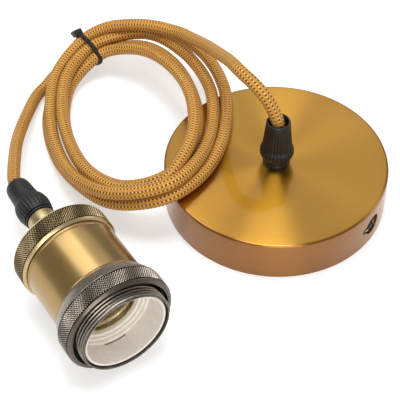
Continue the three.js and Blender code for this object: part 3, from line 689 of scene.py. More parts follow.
def finish_tree(tree, geometry, given):
    """Makes the instances real, gives them their finish and ends the tree."""
    real = add(tree, "GeometryNodeRealizeInstances", {0: geometry})
    painted = add(tree, "GeometryNodeSetMaterial", {"Geometry": real, "Material": given["Finish"]})
    out = add(tree, "NodeGroupOutput")
    join(tree, painted, out.inputs[0])
    return tree


def stud_tree():
    """Sets blunt pyramids round a cylinder, each row turned half a step from the last."""
    tree, given = new_tree(
        "ring_of_studs",
        [
            ("Around", "Int", 120),
            ("Rows", "Int", 6),
            ("Radius", "Float", 24.0),
            ("Start", "Float", 0.0),
            ("Row Pitch", "Float", 1.0),
            ("Stud Width", "Float", 1.0),
            ("Stud Length", "Float", 1.0),
            ("Stud Height", "Float", 0.3),
            ("Finish", "Material", None),
        ],
    )
    ring = add(tree, "GeometryNodeMeshCircle", {"Vertices": given["Around"], "Radius": given["Radius"]})
    shape = {"Vertices": 4, "Radius Top": 0.22, "Radius Bottom": 1.0, "Depth": 1.0}
    cone = add(tree, "GeometryNodeMeshCone", shape, fill_type="NGON")
    here = add(tree, "GeometryNodeInputPosition")
    height = add(tree, "SeparateXYZ", [here]).outputs[2]
    top = add(tree, "Math", [height, 0.5], operation="GREATER_THAN")
    marked = add(
        tree,
        "GeometryNodeStoreNamedAttribute",
        {"Geometry": cone, "Name": "worn", "Value": top},
        data_type="FLOAT",
        domain="POINT",
    )
    outward = add(tree, "FunctionNodeAlignRotationToVector", {"Vector": here}, axis="Z")
    sizes = {0: given["Stud Length"], 1: given["Stud Width"], 2: given["Stud Height"]}
    row = add(
        tree,
        "GeometryNodeInstanceOnPoints",
        {
            "Points": ring,
            "Instance": marked,
            "Rotation": outward,
            "Scale": add(tree, "CombineXYZ", sizes),
        },
    )
    start = add(tree, "CombineXYZ", {2: given["Start"]})
    offset = add(tree, "CombineXYZ", {2: given["Row Pitch"]})
    steps = {"Count": given["Rows"], "Start Location": start, "Offset": offset}
    line = add(tree, "GeometryNodeMeshLine", steps, mode="OFFSET")
    half_step = add(tree, "Math", [math.pi, given["Around"]], operation="DIVIDE")
    turn = add(tree, "Math", [add(tree, "GeometryNodeInputIndex"), half_step], operation="MULTIPLY")
    spin = add(tree, "CombineXYZ", {2: turn})
    rows = {"Points": line, "Instance": row, "Rotation": spin}
    return finish_tree(tree, add(tree, "GeometryNodeInstanceOnPoints", rows), given)


def thread_tree():
    """Winds a ridge of triangular section along a screw line."""
    tree, given = new_tree(
        "screw_thread",
        [
            ("Radius", "Float", 20.0),
            ("Turns", "Float", 5.0),
            ("Pitch", "Float", 1.5),
            ("Ridge", "Float", 0.5),
            ("Finish", "Material", None),
        ],
    )
    height = add(tree, "Math", [given["Turns"], given["Pitch"]], operation="MULTIPLY")
    shape = {
        "Resolution": 96,
        "Rotations": given["Turns"],
        "Start Radius": given["Radius"],
        "End Radius": given["Radius"],
        "Height": height,
    }
    line = add(tree, "GeometryNodeCurveSpiral", shape)
    section = add(tree, "GeometryNodeCurvePrimitiveCircle", {"Resolution": 6, "Radius": given["Ridge"]})
    ridge = {"Curve": line, "Profile Curve": section, "Fill Caps": True}
    return finish_tree(tree, add(tree, "GeometryNodeCurveToMesh", ridge), given)


TREES = {"ring_of_studs": stud_tree, "screw_thread": thread_tree}


def grown(name, tree_name, slot, matrix, **values):
    """Runs a tree with these inputs, in millimetres, and bakes its result into an object."""
    tree = bpy.data.node_groups.get(tree_name) or TREES[tree_name]()
    thing = link_mesh(name, bpy.data.meshes.new(name), slot)
    modifier = thing.modifiers.new("grow", "NODES")
    modifier.node_group = tree
    keys = {s.name: s.identifier for s in tree.interface.items_tree if s.in_out == "INPUT"}
    for key, value in values.items():
        modifier[keys[key.replace("_", " ")]] = value
    modifier[keys["Finish"]] = finish_of(slot)
    baked(thing)
    thing.data.transform(matrix)
    return thing


# The cord's route, before it is turned by the coil's bearing about the canopy's axis

# From the canopy's grip to the coil
LEAD_IN = [
    (0, 0, 39.4), (0, 0, 42.5), (-1.2, 0.7, 47), (-4.7, 3.6, 53.4), (-9.9, 8.4, 57.7),
    (-16.2, 15.6, 59.3), (-20.6, 26.9, 55.4), (-24.8, 39.4, 48.6), (-31.2, 55, 40.4),
    (-37.7, 66.6, 34.4), (-44.5, 75.8, 30.2),
]
# The coil, every 30 degrees: distance outside the innermost turn, height above the lowest layer
LANE_START = 60
LANE_STEP = 30
LANES = [
    (9.8, 5.7), (11.4, 5.4), (9.2, 5.4), (7, 5.4), (7.2, 5.4), (8.2, 5.4),
    (8, 5.3), (7.2, 4.5), (4.6, 2.8), (7.2, 0.4), (11.8, 0), (12.6, 0),
    (13.2, 0), (8.6, 3.8), (4.2, 5.4), (1.9, 5.5), (1.4, 5.6), (3.4, 5),
    (4.8, 3), (4.6, 2), (0.4, 5), (0.2, 5.5), (0.5, 5.3), (-0.7, 3.6),
    (0.2, 2.5), (3.3, 1.8), (3.3, 0.4), (1.6, 0), (0.4, 0), (0.5, 0),
    (0.4, 0), (-0.6, 0), (-0.3, 0), (1.6, 0), (3, 0), (4.1, 0),
    (5.6, 0), (7.8, 0), (9.6, 0), (9.3, 0), (8.2, 0), (7.4, 0),
    (9.2, 0), (10, 0), (9.6, 0), (13.5, 0), (18.4, 0), (19.8, -1),
    (17, -1), (14.4, 0),
]
# From the coil to the holder's grip
LEAD_OUT = [
    (-105.6, 74, 3.3), (-108.4, 68.6, 3.1), (-112.4, 61.6, 3.3), (-115.2, 49, 5.6),
    (-117.3, 32.6, 9.4), (-117.9, 17.9, 13.6), (-117, 3.6, 18.4), (-116.1, -6.5, 21.6),
    (-115, -14.6, 23.3), (-113.5, -19, 24), (-112, -21.3, 24),
]
# The innermost turn is an oval: its middle, its half width and half length, and its turn
OVAL_CENTRE = (-67.1, 32.0)
OVAL = (27.9, 49.4)
OVAL_TURN = math.radians(18)
# The lowest layer climbs this steeply to the canopy's top, and lies level from there on
REST_HEIGHT = 23.3
RAMP_TOP = -53.5
RAMP_SLOPE = 0.41
# The tie's place round the coil and its slant, in degrees
TIE_LANE = 96
TIE_SLANT = 14


def layer_height(x):
    """Height of the lowest layer's centre: floor, ramp, then the canopy's top."""
    slope = REST_HEIGHT + RAMP_SLOPE * (x - RAMP_TOP)
    capped = -math.log(math.exp(-slope) + math.exp(-REST_HEIGHT))
    return math.log(math.exp(capped) + math.exp(settings().cord.diameter / MM / 2))


def lane_point(degrees, out, lift):
    """A point of the coil from its lane."""
    a, b = OVAL
    t = math.radians(degrees)
    nx, ny = math.cos(t) / a, math.sin(t) / b
    size = math.hypot(nx, ny)
    u = a * math.cos(t) + out * nx / size
    v = b * math.sin(t) + out * ny / size
    x = OVAL_CENTRE[0] + u * math.cos(OVAL_TURN) - v * math.sin(OVAL_TURN)
    y = OVAL_CENTRE[1] + u * math.sin(OVAL_TURN) + v * math.cos(OVAL_TURN)
    return (x, y, max(layer_height(x) + lift, settings().cord.diameter / MM / 2))


def lie_down(start, cord, rounds=220):
    """Eases the turns apart to a cord's width, up off the floor and off the canopy.

    Each round moves a point by part of its overlap, smooths the moves along the cord and lets them
    fade a little, so that the cord keeps close to its drawn route. Its two ends stay where they are.
    """
    end_length, side_share, lift_share, fade, play = 16, 0.35, 0.6, 0.998, 0.05
    canopy = settings().canopy
    edge, top = canopy.radius / MM, canopy.height / MM
    p = start.copy()
    count = len(p)
    step = np.linalg.norm(p[1] - p[0])
    order = np.arange(count)
    near = np.abs(order[:, None] - order[None]) * step < 3 * cord
    held = int(end_length / step)
    free = np.ones(count)
    free[:held] = free[-held:] = 0
    free[held : 2 * held] = np.linspace(0, 1, held)
    free[-2 * held : -held] = np.linspace(1, 0, held)
    for _ in range(rounds):
        apart = p[:, None] - p[None]
        distance = np.sqrt((apart**2).sum(-1)) + 1e-9
        over = np.clip(cord * 0.995 - distance, 0, None)
        over[near] = 0
        share = side_share / np.maximum(1, (over > 0).sum(1) * 0.5)
        push = (apart * (over / distance)[..., None]).sum(1) * share[:, None]
        radius = np.hypot(p[:, 0], p[:, 1])
        outside, above = radius - edge, p[:, 2] - top
        gx, gy = np.maximum(outside, 0), np.maximum(above, 0)
        gap = np.hypot(gx, gy) + 1e-9
        on_top = (outside <= 0) & (p[:, 2] > top / 2) & (radius > 2 * cord)
        by_rim = (outside > 0) & (p[:, 2] < top + cord)
        sunk = np.clip(cord / 2 + play - above, 0, None) * on_top
        pressed = np.clip(cord / 2 + play - gap, 0, None) * by_rim
        push[:, 2] += lift_share * (sunk + pressed * gy / gap)
        push[:, :2] += lift_share * (pressed * gx / gap / np.maximum(radius, 1))[:, None] * p[:, :2]
        move = (p - start) + push * free[:, None]
        for _ in range(2):
            eased = move.copy()
            eased[1:-1] = (move[:-2] + 2 * move[1:-1] + move[2:]) / 4
            move = eased
        p = start + fade * move * np.minimum(1, free * 3)[:, None]
        p[:, 2] = np.maximum(p[:, 2], cord / 2)
    return p


def cord_line():
    """The whole centreline in the part's frame, in metres."""
    coarse_step, fine_step = 3.0, 1.2
    turns = [lane_point(LANE_START + LANE_STEP * i, *lane) for i, lane in enumerate(LANES)]
    points = LEAD_IN + turns + LEAD_OUT
    line = lie_down(even_curve(points, coarse_step), settings().cord.diameter / MM)
    turn = canopy_matrix(COIL_BEARING)
    return np.array([tuple(turn @ Vector(p)) for p in even_curve(line, fine_step)])


def build_cord():
    """The cord from grip to grip, its tie, and its ends inside the two grips."""
    sizes = settings().cord
    line = cord_line()
    cord = tube("cord", line, sizes.diameter / 2, "copper_braid", sides=24)
    settle_in(cord, "copper_braid", "cord_canopy_run", "cord_coil", "cord_holder_run")
    pieces = build_tie(line)
    for name, matrix, low, high in (
        ("cord_tail_canopy", canopy_matrix(), 9.5, 39.2),
        ("cord_tail_holder", holder_matrix(), -85.2, -54.8),
    ):
        inner = [tuple(matrix @ Vector((0, 0, z))) for z in np.linspace(low, high, 24)]
        tail = tube(name + "_braid", inner, sizes.diameter / 2, "copper_braid", sides=24)
        settle_in(tail, "copper_braid", name)


def convex(points):
    """The convex hull of flat points, anticlockwise."""
    points = sorted(set((round(x, 5), round(y, 5)) for x, y in points))

    def half(source):
        chain = []
        for p in source:
            while len(chain) > 1:
                (ax, ay), (bx, by) = chain[-2:]
                if (bx - ax) * (p[1] - ay) - (by - ay) * (p[0] - ax) > 0:
                    break
                chain.pop()
            chain.append(p)
        return chain[:-1]

    return half(points) + half(points[::-1])


def build_tie(line):
    """The nylon cable tie: a ribbed strap drawn round the turns, its head and its cut end."""
    sizes = settings().cord
    radius = sizes.diameter / MM / 2
    half, thick = sizes.tie_width / MM / 2, sizes.tie_thick / MM
    turn = Matrix.Rotation(math.radians(COIL_BEARING), 3, "Z")
    lift, span = 2, 16
    inner, outer = (turn @ Vector(lane_point(TIE_LANE, out, lift)) for out in (0, span))
    slant = Matrix.Rotation(math.radians(TIE_SLANT), 3, "Z")
    outward = slant @ (outer - inner).normalized()
    along = outward.cross(Vector((0, 0, 1))).normalized()
    up = along.cross(outward).normalized()
    centre = (inner + outer) / 2
    p = line / MM - np.array(centre)
    reach = p @ np.array(along)
    widest, highest = 22, 14
    crossings = []
    for i in np.nonzero(np.diff(np.sign(reach)))[0]:
        share = reach[i] / (reach[i] - reach[i + 1])
        q = p[i] * (1 - share) + p[i + 1] * share
        flat = (float(q @ np.array(outward)), float(q @ np.array(up)))
        if abs(flat[0]) < widest and abs(flat[1]) < highest:
            crossings.append(flat)
    snug = radius + 0.1
    rims = [
        (x + snug * math.cos(t), y + snug * math.sin(t))
        for x, y in crossings
        for t in np.linspace(0, 2 * math.pi, 24, endpoint=False)
    ]
    hull = convex(rims)
    outline = even_curve([(x, y, 0) for x, y in hull + hull[:1]], 0.4)[:-1, :2]
    normal = np.roll(outline, -1, 0) - np.roll(outline, 1, 0)
    normal = np.stack([normal[:, 1], -normal[:, 0]], 1)
    normal /= np.linalg.norm(normal, axis=1)[:, None]
    vertices, faces = [], []
    count = len(outline) // 2 * 2
    groove = 0.18
    shoulder, inset = thick * 0.7, half * 0.8
    for i, ((x, y), (nx, ny)) in enumerate(zip(outline[:count], normal[:count])):
        top = thick if i % 2 else thick - groove
        section = [
            (0, -half), (shoulder, -half), (top, -inset), (top, inset), (shoulder, half), (0, half),
        ]
        for grow, across in section:
            vertices.append(centre + outward * (x + nx * grow) + up * (y + ny * grow) + along * across)
    ring = 6
    for i in range(count):
        j = (i + 1) % count
        for k in range(ring):
            m = (k + 1) % ring
            faces.append((i * ring + k, i * ring + m, j * ring + m, j * ring + k))
    scale = Matrix.Scale(MM, 4)
    strap = solid("tie_strap", vertices, faces, "black_nylon", scale, sharp=20)
    # The head sits on the outer shoulder of the bundle and leans outward
    shoulder_way, lean = (0.62, 0.78), -28
    crest = outline[np.argmax(outline @ np.array(shoulder_way))]
    tilt = Matrix.Rotation(math.radians(lean), 4, "Z")
    basis = Matrix((outward, up, along)).transposed().to_4x4()
    place = scale @ Matrix.Translation(centre) @ basis @ Matrix.Translation((crest[0], crest[1], 0)) @ tilt
    head_spot, head_size = (0.6, 1.7, 0), (4.6, 3.2, 4.2)
    stub_spot, stub_size = (4.0, 2.0, 0), (3.4, 1.0, 2.0)
    head = rounded_box("tie_head", head_spot, head_size, 0.5, "black_nylon", place)
    stub = rounded_box("tie_stub", stub_spot, stub_size, 0.2, "black_nylon", place)
    pieces = [strap, head, stub]
    for thing in pieces:
        settle_in(thing, "black_nylon")
    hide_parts("cable_tie")
    return pieces


# Canopy


def screw(name, node, slot, matrix, head, height, shank, reach):
    """A slotted screw with a domed head, from its head's radius and height and its shank's radius and length.

    Its seat is at the matrix's origin, head up.
    """
    profile = [
        (0, -reach), (shank, -reach), (shank, 0), (head, 0), (head, 0.55 * height),
        (0.8 * head, 0.85 * height), (0.45 * head, height), (0, height),
    ]
    body = lathe(name, rounded(profile, 0.12), slot, matrix, sides=48)
    cut = rounded_box("cut", (0, 0, height), (3 * head, 0.26 * head, 0.8 * height), 0, slot, matrix)
    return settle_in(carve(body, [cut]), slot, node)


def build_canopy():
    """The brushed cup with its keyholes, the strap, screws, washer and nut."""
    sizes = settings().canopy
    radius, height, wall, crease = (v / MM for v in (sizes.radius, sizes.height, sizes.wall, sizes.crease))
    hole, inside, under = sizes.stem_hole / MM, radius - wall, height - wall
    profile = [
        (inside, 0, 0.2), (radius, 0, 0.3), (radius, 5, 0), (radius, 15, 0), (radius, height, crease),
        (radius - 6, height, 0), (30, height, 0), (15, height, 0), (hole, height, 0.2),
        (hole, under, 0.2), (30, under, 0), (inside, under, 1.0), (inside, 15, 0), (inside, 5, 0),
        (inside, 0, 0.2),
    ]
    matrix = canopy_matrix(SCREW_BEARING)
    cup = lathe("canopy_cup", rounded(profile, 0.3, 6), "brushed_gold", matrix, sides=256)
    cutters = []
    for side in (1, -1):
        spot = Matrix.Translation((side * radius, 0, sizes.screw_height / MM))
        turn = Matrix.Rotation(math.pi / 2, 4, "Y")
        hole_radius = sizes.keyhole_radius / MM
        ends = [(0, -5), (hole_radius, -5), (hole_radius, 5), (0, 5)]
        cutters.append(lathe("hole", ends, "black_steel", matrix @ spot @ turn, sides=64))
        reach, neck = sizes.keyhole_reach / MM, sizes.keyhole_neck / MM
        centre, size = (0, -side * reach / 2, 0), (10, reach, neck)
        cutters.append(rounded_box("neck", centre, size, 0, "black_steel", matrix @ spot))
    settle_in(carve(cup, cutters, 30), "brushed_gold", "canopy")

    # Each side screw's head sits in its keyhole, on the bracket's upright tab
    tab, head, shank, reach = 1.1, 3.5, 1.9, 6
    seat = inside - tab - FIT
    for i, side in enumerate((1, -1)):
        place = Matrix.Translation((side * seat, 0, sizes.screw_height / MM))
        turn = Matrix.Rotation(side * math.pi / 2, 4, "Y") @ Matrix.Rotation(0.6, 4, "Z")
        name = f"side_screw_{i + 1}"
        rise = radius - seat - 0.2
        screw(name + "_body", name, "black_steel", matrix @ place @ turn, head, rise, shank, reach)
    softened("bracket", "ceiling_bracket", "zinc_steel", 0.2)
    softened("washer", "grip_washer", "zinc_steel", 0.1)
    softened("lock_nut", "grip_lock_nut", "zinc_steel", 0.25)


def build_canopy_wiring():
    """The terminal block, the earth screw and the three cores inside the canopy."""
    matrix = canopy_matrix(SCREW_BEARING)
    softened("block", "terminal_block", "white_nylon", 0.3)
    block_x, pole, reach, top = -17.0, 4.2, 4.0, 9.48
    for i, (x, y) in enumerate(((reach, pole), (-reach, pole), (reach, -pole), (-reach, -pole))):
        name = f"terminal_screw_{i + 1}"
        place = matrix @ Matrix.Translation((block_x + x, y, top)) @ Matrix.Rotation(0.5 * i, 4, "Z")
        screw(name + "_body", name, "contact_brass", place, 1.7, 1.6, 1.7, 0.6)
    place = matrix @ Matrix.Translation((17, 5.5, 1.5))
    screw("earth_screw_body", "earth_screw", "contact_brass", place, 3.0, 2.0, 1.5, 1.5)
    routes = {
        "live": ("live_brown", [(-0.9, 1.3, 9.2), (-1.4, 1.7, 6.8), (-4, 3.4, 4.9), (-9.2, 4.2, 4.6)]),
        "neutral": (
            "neutral_blue", [(-0.9, -1.3, 9.2), (-1.4, -1.7, 6.8), (-4, -3.4, 4.9), (-9.2, -4.2, 4.6)]
        ),
        "earth": ("earth_green", [(1.5, 0, 9.2), (2.4, 0.4, 6.6), (7, 3.2, 4.2), (13.2, 5.3, 3.4)]),
    }
    build_cores("canopy", matrix, routes)


def build_cores(owner, matrix, routes):
    """Insulated cores along routes in millimetres."""
    core_radius, step = 1.05, 0.6
    for name, (slot, points) in routes.items():
        line = [tuple(matrix @ Vector(p)) for p in even_curve(points, step)]
        core = tube(f"{owner}_{name}_wire", line, core_radius * MM, slot, sides=16)
        settle_in(core, slot, f"{owner}_{name}_core")


# Grips


def ribbed(low, high):
    """A shape that presses ribs into a turned grip between two heights."""
    fade, smooth_inside = 0.6, 4.9
    sizes = settings().grip
    depth = sizes.rib_depth / MM

    def shape(r, z, angle):
        inside = min(1.0, max(0.0, (z - low) / fade)) * min(1.0, max(0.0, (high - z) / fade))
        wave = abs(math.sin(angle * sizes.ribs / 2))
        return r - depth * inside * wave if r > smooth_inside else r

    return shape


def moulded_grip(name, node, profile, matrix, corner, sides, shape=None, sharp=35.0):
    """One half of a cord grip, turned from its profile."""
    half = lathe(name, rounded(profile, corner), "black_nylon", matrix, sides, shape, sharp)
    settle_in(half, "black_nylon", node)


def build_grips():
    """The two moulded grips, one on the canopy and one behind the holder."""
    # Radii that both grips share: the cord's way through, the screwed stem, the clamp and the nut's bore
    cord_way, stem, clamp, clamp_end, bore = 3.15, 4.85, 4.3, 3.7, 4.55

    canopy = canopy_matrix() @ Matrix.Translation((0, 0, settings().canopy.height / MM))
    collar, waist = 6, 5.7
    base = [
        (cord_way, -8.5), (stem, -8.5), (stem, 0), (collar, 0), (collar, 2.4), (waist, 2.7),
        (waist, 3.4), (collar, 3.7), (collar, 4.5), (clamp, 4.5), (clamp, 13.5), (clamp_end, 15.5),
        (cord_way, 15.5), (cord_way, -8.5),
    ]
    moulded_grip("grip_base", "canopy_grip_base", base, canopy, 0.15, 96)
    nut = [
        (bore, 4.8), (6.2, 4.8), (7.3, 5.8, 0.6), (7.65, 7.4, 1.5), (7.3, 9.2, 0.8), (6.65, 10.4, 0.6),
        (6.4, 13, 0), (6.1, 16, 0), (5.75, 20, 0), (5.35, 24.4), (5, 25), (4.4, 25), (cord_way, 20.5),
        (cord_way, 15.8), (bore, 15.2), (bore, 4.8),
    ]
    moulded_grip("grip_nut", "canopy_grip_nut", nut, canopy, 0.2, 352, ribbed(5.6, 24.2), 60)

    back = back_grip_matrix()
    collar = 6.6
    base = [
        (cord_way, -6.5), (stem, -6.5), (stem, 0), (collar, 0), (collar, 1), (clamp, 1), (clamp, 10),
        (clamp_end, 12), (cord_way, 12), (cord_way, -6.5),
    ]
    moulded_grip("back_grip_base", "holder_grip_base", base, back, 0.15, 96)
    nut = [
        (bore, 1.3), (6.85, 1.3), (7.45, 4, 1), (7.72, 6, 2), (7.5, 8.4, 1), (6.95, 10.2, 0.4),
        (6.15, 10.8, 0.2), (6.0, 11.6, 0.3), (5.75, 15, 0), (5.5, 19.6), (5.1, 21.6, 0.5),
        (4.5, 22.6, 0.3), (3.8, 22.6), (cord_way, 20.1), (cord_way, 12.7), (bore, 12.3), (bore, 1.3),
    ]
    moulded_grip("back_grip_nut", "holder_grip_nut", nut, back, 0.2, 352, ribbed(2.2, 9.6), 60)


# Lamp holder


def knurl(name, slot, radius, front, back):
    """A band of diamonds on a ring between two stations."""
    sizes = settings().holder
    pitch = sizes.knurl_pitch / MM
    around = int(round(2 * math.pi * radius / pitch))
    row = pitch / 2
    rows = int((front - back - 0.6) / row)
    start = (front + back - (rows - 1) * row) / 2
    band = grown(
        name, "ring_of_studs", slot, holder_matrix(),
        Around=around, Rows=rows, Radius=radius - sizes.knurl_height / MM, Start=start, Row_Pitch=row,
        Stud_Width=0.52 * pitch, Stud_Length=0.52 * pitch, Stud_Height=sizes.knurl_height / MM,
    )
    return settle_in(band, slot)


def build_shade_ring():
    """The shade ring, knurled between two polished chamfers."""
    place = holder_matrix()
    sizes = settings().holder
    thread, deep = sizes.thread_radius / MM, sizes.knurl_height / MM
    outer, bore, rear = thread + 4.0, thread + 0.3, thread + 0.8
    band_front, band_back = -0.1, -7.2
    profile = [
        (rear, -12.8, 0.1), (thread + 1.5, -12.8, 0.3), (outer - 0.1, -7.4, 0.25),
        (outer - deep, band_back, 0.1), (outer - deep, band_front, 0.1), (outer - 0.1, 0.1, 0.2),
        (outer - 1.2, 1.2, 0.3), (outer - 2.4, 1.2, 0.2), (outer - 2.6, -1.2, 0.2), (bore, -1.8, 0.1),
        (bore, -8.7, 0.1), (rear, -9.0, 0.1), (rear, -12.8, 0.1),
    ]
    body = lathe("shade_ring_body", rounded(profile), "gunmetal", place)
    valley = outer - deep - 0.05

    def wear(r, z):
        """Rubbed on the back cone, dark between the diamonds."""
        if z < band_back - 0.1:
            return 0.62
        return 0.0 if r > valley and z < 0 else 0.42

    mark_worn(body, place, wear)
    settle_in(body, "gunmetal", "shade_ring")
    knurl("shade_ring_knurl", "gunmetal", outer, band_front, band_back)


def build_cap():
    """The holder's cap: a knurled band, a hollow cone behind it and a neck for the grip."""
    place = holder_matrix()
    sizes = settings().holder
    thread, deep = sizes.thread_radius / MM, sizes.knurl_height / MM
    outer, bore, neck, neck_bore = thread + 2.0, 19.65, 6.2, 5.1
    band_front, band_back = -40.8, -48.3
    # The cone draws in from the band to the neck, a little hollow
    cone = []
    for t in np.linspace(0.12, 1, 8):
        cone.append((20.8 - 14.65 * t, -49.6 - 8.9 * (0.85 * t + 0.15 * t**4), 0))
    band = [
        (bore, -39.5, 0.1), (outer - 1.2, -39.5, 0.2), (outer - 0.1, -40.6, 0.2),
        (outer - deep, band_front, 0.1), (outer - deep, band_back, 0.1), (outer - 0.1, -48.5, 0.2),
        (outer - 1.2, -49.6, 0.3),
    ]
    inside = [
        (neck, -60, 0.2), (neck, -66, 0.2), (neck_bore, -66, 0.2), (neck_bore, -57.1, 0.3),
        (17.5, -49.2, 0.5), (bore, -47.4, 0.3), (bore, -39.5, 0.1),
    ]
    body = lathe("holder_cap_body", rounded(band + cone + inside), "dark_bronze", place)
    valley = outer - deep - 0.05

    def wear(r, z):
        """Dark between the diamonds and rubbed bright elsewhere."""
        return 0.0 if r > valley and band_back - 0.1 < z < band_front + 0.1 else 0.95

    mark_worn(body, place, wear)
    settle_in(body, "dark_bronze", "holder_cap")
    knurl("holder_cap_knurl", "dark_bronze", outer, band_front, band_back)


def build_body():
    """The satin brass tube with a bead and groove at each end."""
    tube_radius, bore, spigot = 20.5, 19.6, 19.35
    lip, groove = spigot - 1.1, tube_radius - 0.35
    profile = [
        (lip, -44.2), (spigot, -44.2), (spigot, -39.2), (tube_radius, -39.2, 0.15),
        (tube_radius, -38.15, 0.1), (groove, -37.8, 0.1), (tube_radius, -37.45, 0.1),
        (tube_radius, -30, 0), (tube_radius, -22, 0), (tube_radius, -14.35, 0.1), (groove, -14.0, 0.1),
        (tube_radius, -13.65, 0.1), (tube_radius, -9, 0.15), (bore, -9), (bore, -37.8), (lip, -37.8),
        (lip, -44.2),
    ]
    body = lathe("body_tube", rounded(profile, 0.15), "satin_brass", holder_matrix(), sides=192)
    settle_in(body, "satin_brass", "holder_body")


def build_sleeve():
    """The blackened sleeve with its shade thread."""
    sizes = settings().holder
    place = holder_matrix()
    crest, pitch, depth = (v / MM for v in (sizes.thread_radius, sizes.thread_pitch, sizes.thread_depth))
    root, seat = crest - depth, 19.35
    bore, back, shoulder, front = root - 0.55, -16, -8.7, 5.8
    profile = [
        (bore, back), (seat, back), (seat, shoulder), (root, shoulder), (root, front, 0.2),
        (bore, front, 0.2), (bore, back),
    ]
    body = lathe("sleeve_body", rounded(profile, 0.1), "gunmetal", place)
    mark_worn(body, place, lambda r, z: 0.12 if r > root - 0.1 and z < front - 0.3 else 0.5)
    settle_in(body, "gunmetal", "threaded_sleeve")
    turns = 6.0
    start = Matrix.Translation((0, 0, front - 0.6 - turns * pitch))
    ridge = grown(
        "sleeve_thread", "screw_thread", "gunmetal", place @ start,
        Radius=root + 0.02, Turns=turns, Pitch=pitch, Ridge=depth,
    )
    ridge.data.shade_smooth()
    ridge.data.set_sharp_from_angle(angle=math.radians(50))
    mark_worn(ridge, place, lambda r, z: 0.72 if r > root + 0.35 else 0.35)
    settle_in(ridge, "gunmetal")


def build_insulator():
    """The glazed liner and insulator in one, with a slot in its wall and two passages in its floor."""
    place = holder_matrix()
    mouth, step_2, step_1, bore, outer, waist, flange = 17.3, 16.25, 15.2, 14.2, 18.4, 16.9, 19.3
    profile = [
        (0, -34), (bore, -34), (bore, -8.8), (step_1, -8.8), (step_1, -7.5), (step_2, -7.5),
        (step_2, -6.2), (mouth, -6.2), (mouth, 4.6), (17.7, 4.9), (18.1, 4.9), (outer, 4.6),
        (outer, -10.1), (waist, -11.4), (waist, -34), (flange, -34), (flange, -37.4), (waist, -37.6),
        (0, -37.6),
    ]
    liner = lathe("insulator_body", rounded(profile, 0.25), "white_ceramic", place)
    slot_spot, slot_size = (0, -18.4, -5.5), (10, 5, 0.9)
    cutters = [rounded_box("slot", slot_spot, slot_size, 0, "white_ceramic", place)]
    passage, apart = 1.9, 8.5
    for side in (1, -1):
        ends = [(0, -40), (passage, -40), (passage, -31), (0, -31)]
        spot = Matrix.Translation((side * apart, 0, 0))
        cutters.append(lathe("passage", ends, "white_ceramic", place @ spot, sides=32))
    settle_in(carve(liner, cutters), "white_ceramic", "insulator")


def build_shell():
    """The screw shell with its rolled thread, and the centre contact behind it."""
    place = holder_matrix()
    back, front, foot_height = -33.7, -9.8, 1.2
    outer, sheet, floor_hole = 13.275, 0.45, 6
    thread_depth, thread_pitch = 0.4, 3.629
    inner, foot = outer - sheet, back + foot_height
    rows = np.linspace(foot, front, 110)
    wall = [(outer, z) for z in rows] + [(inner, z) for z in rows[::-1]]
    floor = [(inner, back + sheet), (floor_hole, back + sheet), (floor_hole, back)]
    profile = [(floor_hole, back), (outer, back)] + wall + floor

    def rolled(r, z, angle):
        """The coarse round thread, fading out at both ends."""
        if r < floor_hole + 1:
            return r
        rise = min(1.0, max(0.0, (z - foot) / 2.8))
        fall = min(1.0, max(0.0, (front - z) / 2.5))
        return r + thread_depth * math.cos(2 * math.pi * z / thread_pitch - angle) * rise * fall

    shell = lathe("shell_body", profile, "contact_brass", place, 96, rolled)
    settle_in(shell, "contact_brass", "screw_shell")
    softened("contact_strip", "centre_contact", "contact_brass", 0.08)
    spot = Matrix.Translation((-3.4, 0, -33.4))
    screw("contact_screw_body", "contact_screw", "contact_brass", place @ spot, 1.9, 1.0, 1.0, 0.3)


def build_holder_wiring():
    """The terminals behind the insulator, their screws and the cores to them."""
    place = holder_matrix()
    behind, start = -40.1, -54.5
    for side, name in ((1, "live"), (-1, "neutral")):
        softened(name + "_block", name + "_terminal", "contact_brass", 0.2)
        spot = Matrix.Translation((side * 8.5, 2.4, behind)) @ Matrix.Rotation(-math.pi / 2, 4, "X")
        screw(name + "_screw_body", name + "_screw", "zinc_steel", place @ spot, 1.45, 1.4, 1.45, 1)
    routes = {
        "live": (
            "live_brown", [(1.3, -0.4, start), (2.2, -0.6, -51.8), (7, -1.3, -46.8), (8.5, -1.6, -42.9)]
        ),
        "neutral": (
            "neutral_blue", [(-1.3, -0.4, start), (-2.2, -0.6, -51.8), (-7, -1.3, -46.8), (-8.5, -1.6, -42.9)]
        ),
        "earth": ("earth_green", [(0, 1.6, start), (0, 2.6, -51.3), (0, 8.4, -49.1), (0, 13.2, -48.1)]),
    }
    build_cores("holder", place, routes)


# Stage


def paper_floor():
    """Seamless white paper, glowing a little to the camera, so that it keeps only soft shadows.

    It is clear from below, so that the underside can be looked at.
    """
    found = bpy.data.materials.new("paper_floor")
    found.use_nodes = True
    tree = found.node_tree
    tree.nodes.clear()
    path = add(tree, "LightPath").outputs
    seen = add(tree, "Math", [path["Is Camera Ray"], path["Is Glossy Ray"]], operation="MAXIMUM")
    paper = add(tree, "BsdfDiffuse", {"Color": "#D2D2D2"})
    power = add(tree, "Math", [seen, 0.5], operation="MULTIPLY")
    glow = add(tree, "Emission", {"Color": "#FFFFFF", "Strength": power})
    both = add(tree, "AddShader", [paper, glow])
    below = add(tree, "NewGeometry").outputs["Backfacing"]
    clear = add(tree, "BsdfTransparent")
    sided = add(tree, "MixShader", [below, both, clear])
    add(tree, "OutputMaterial", [sided])
    return found


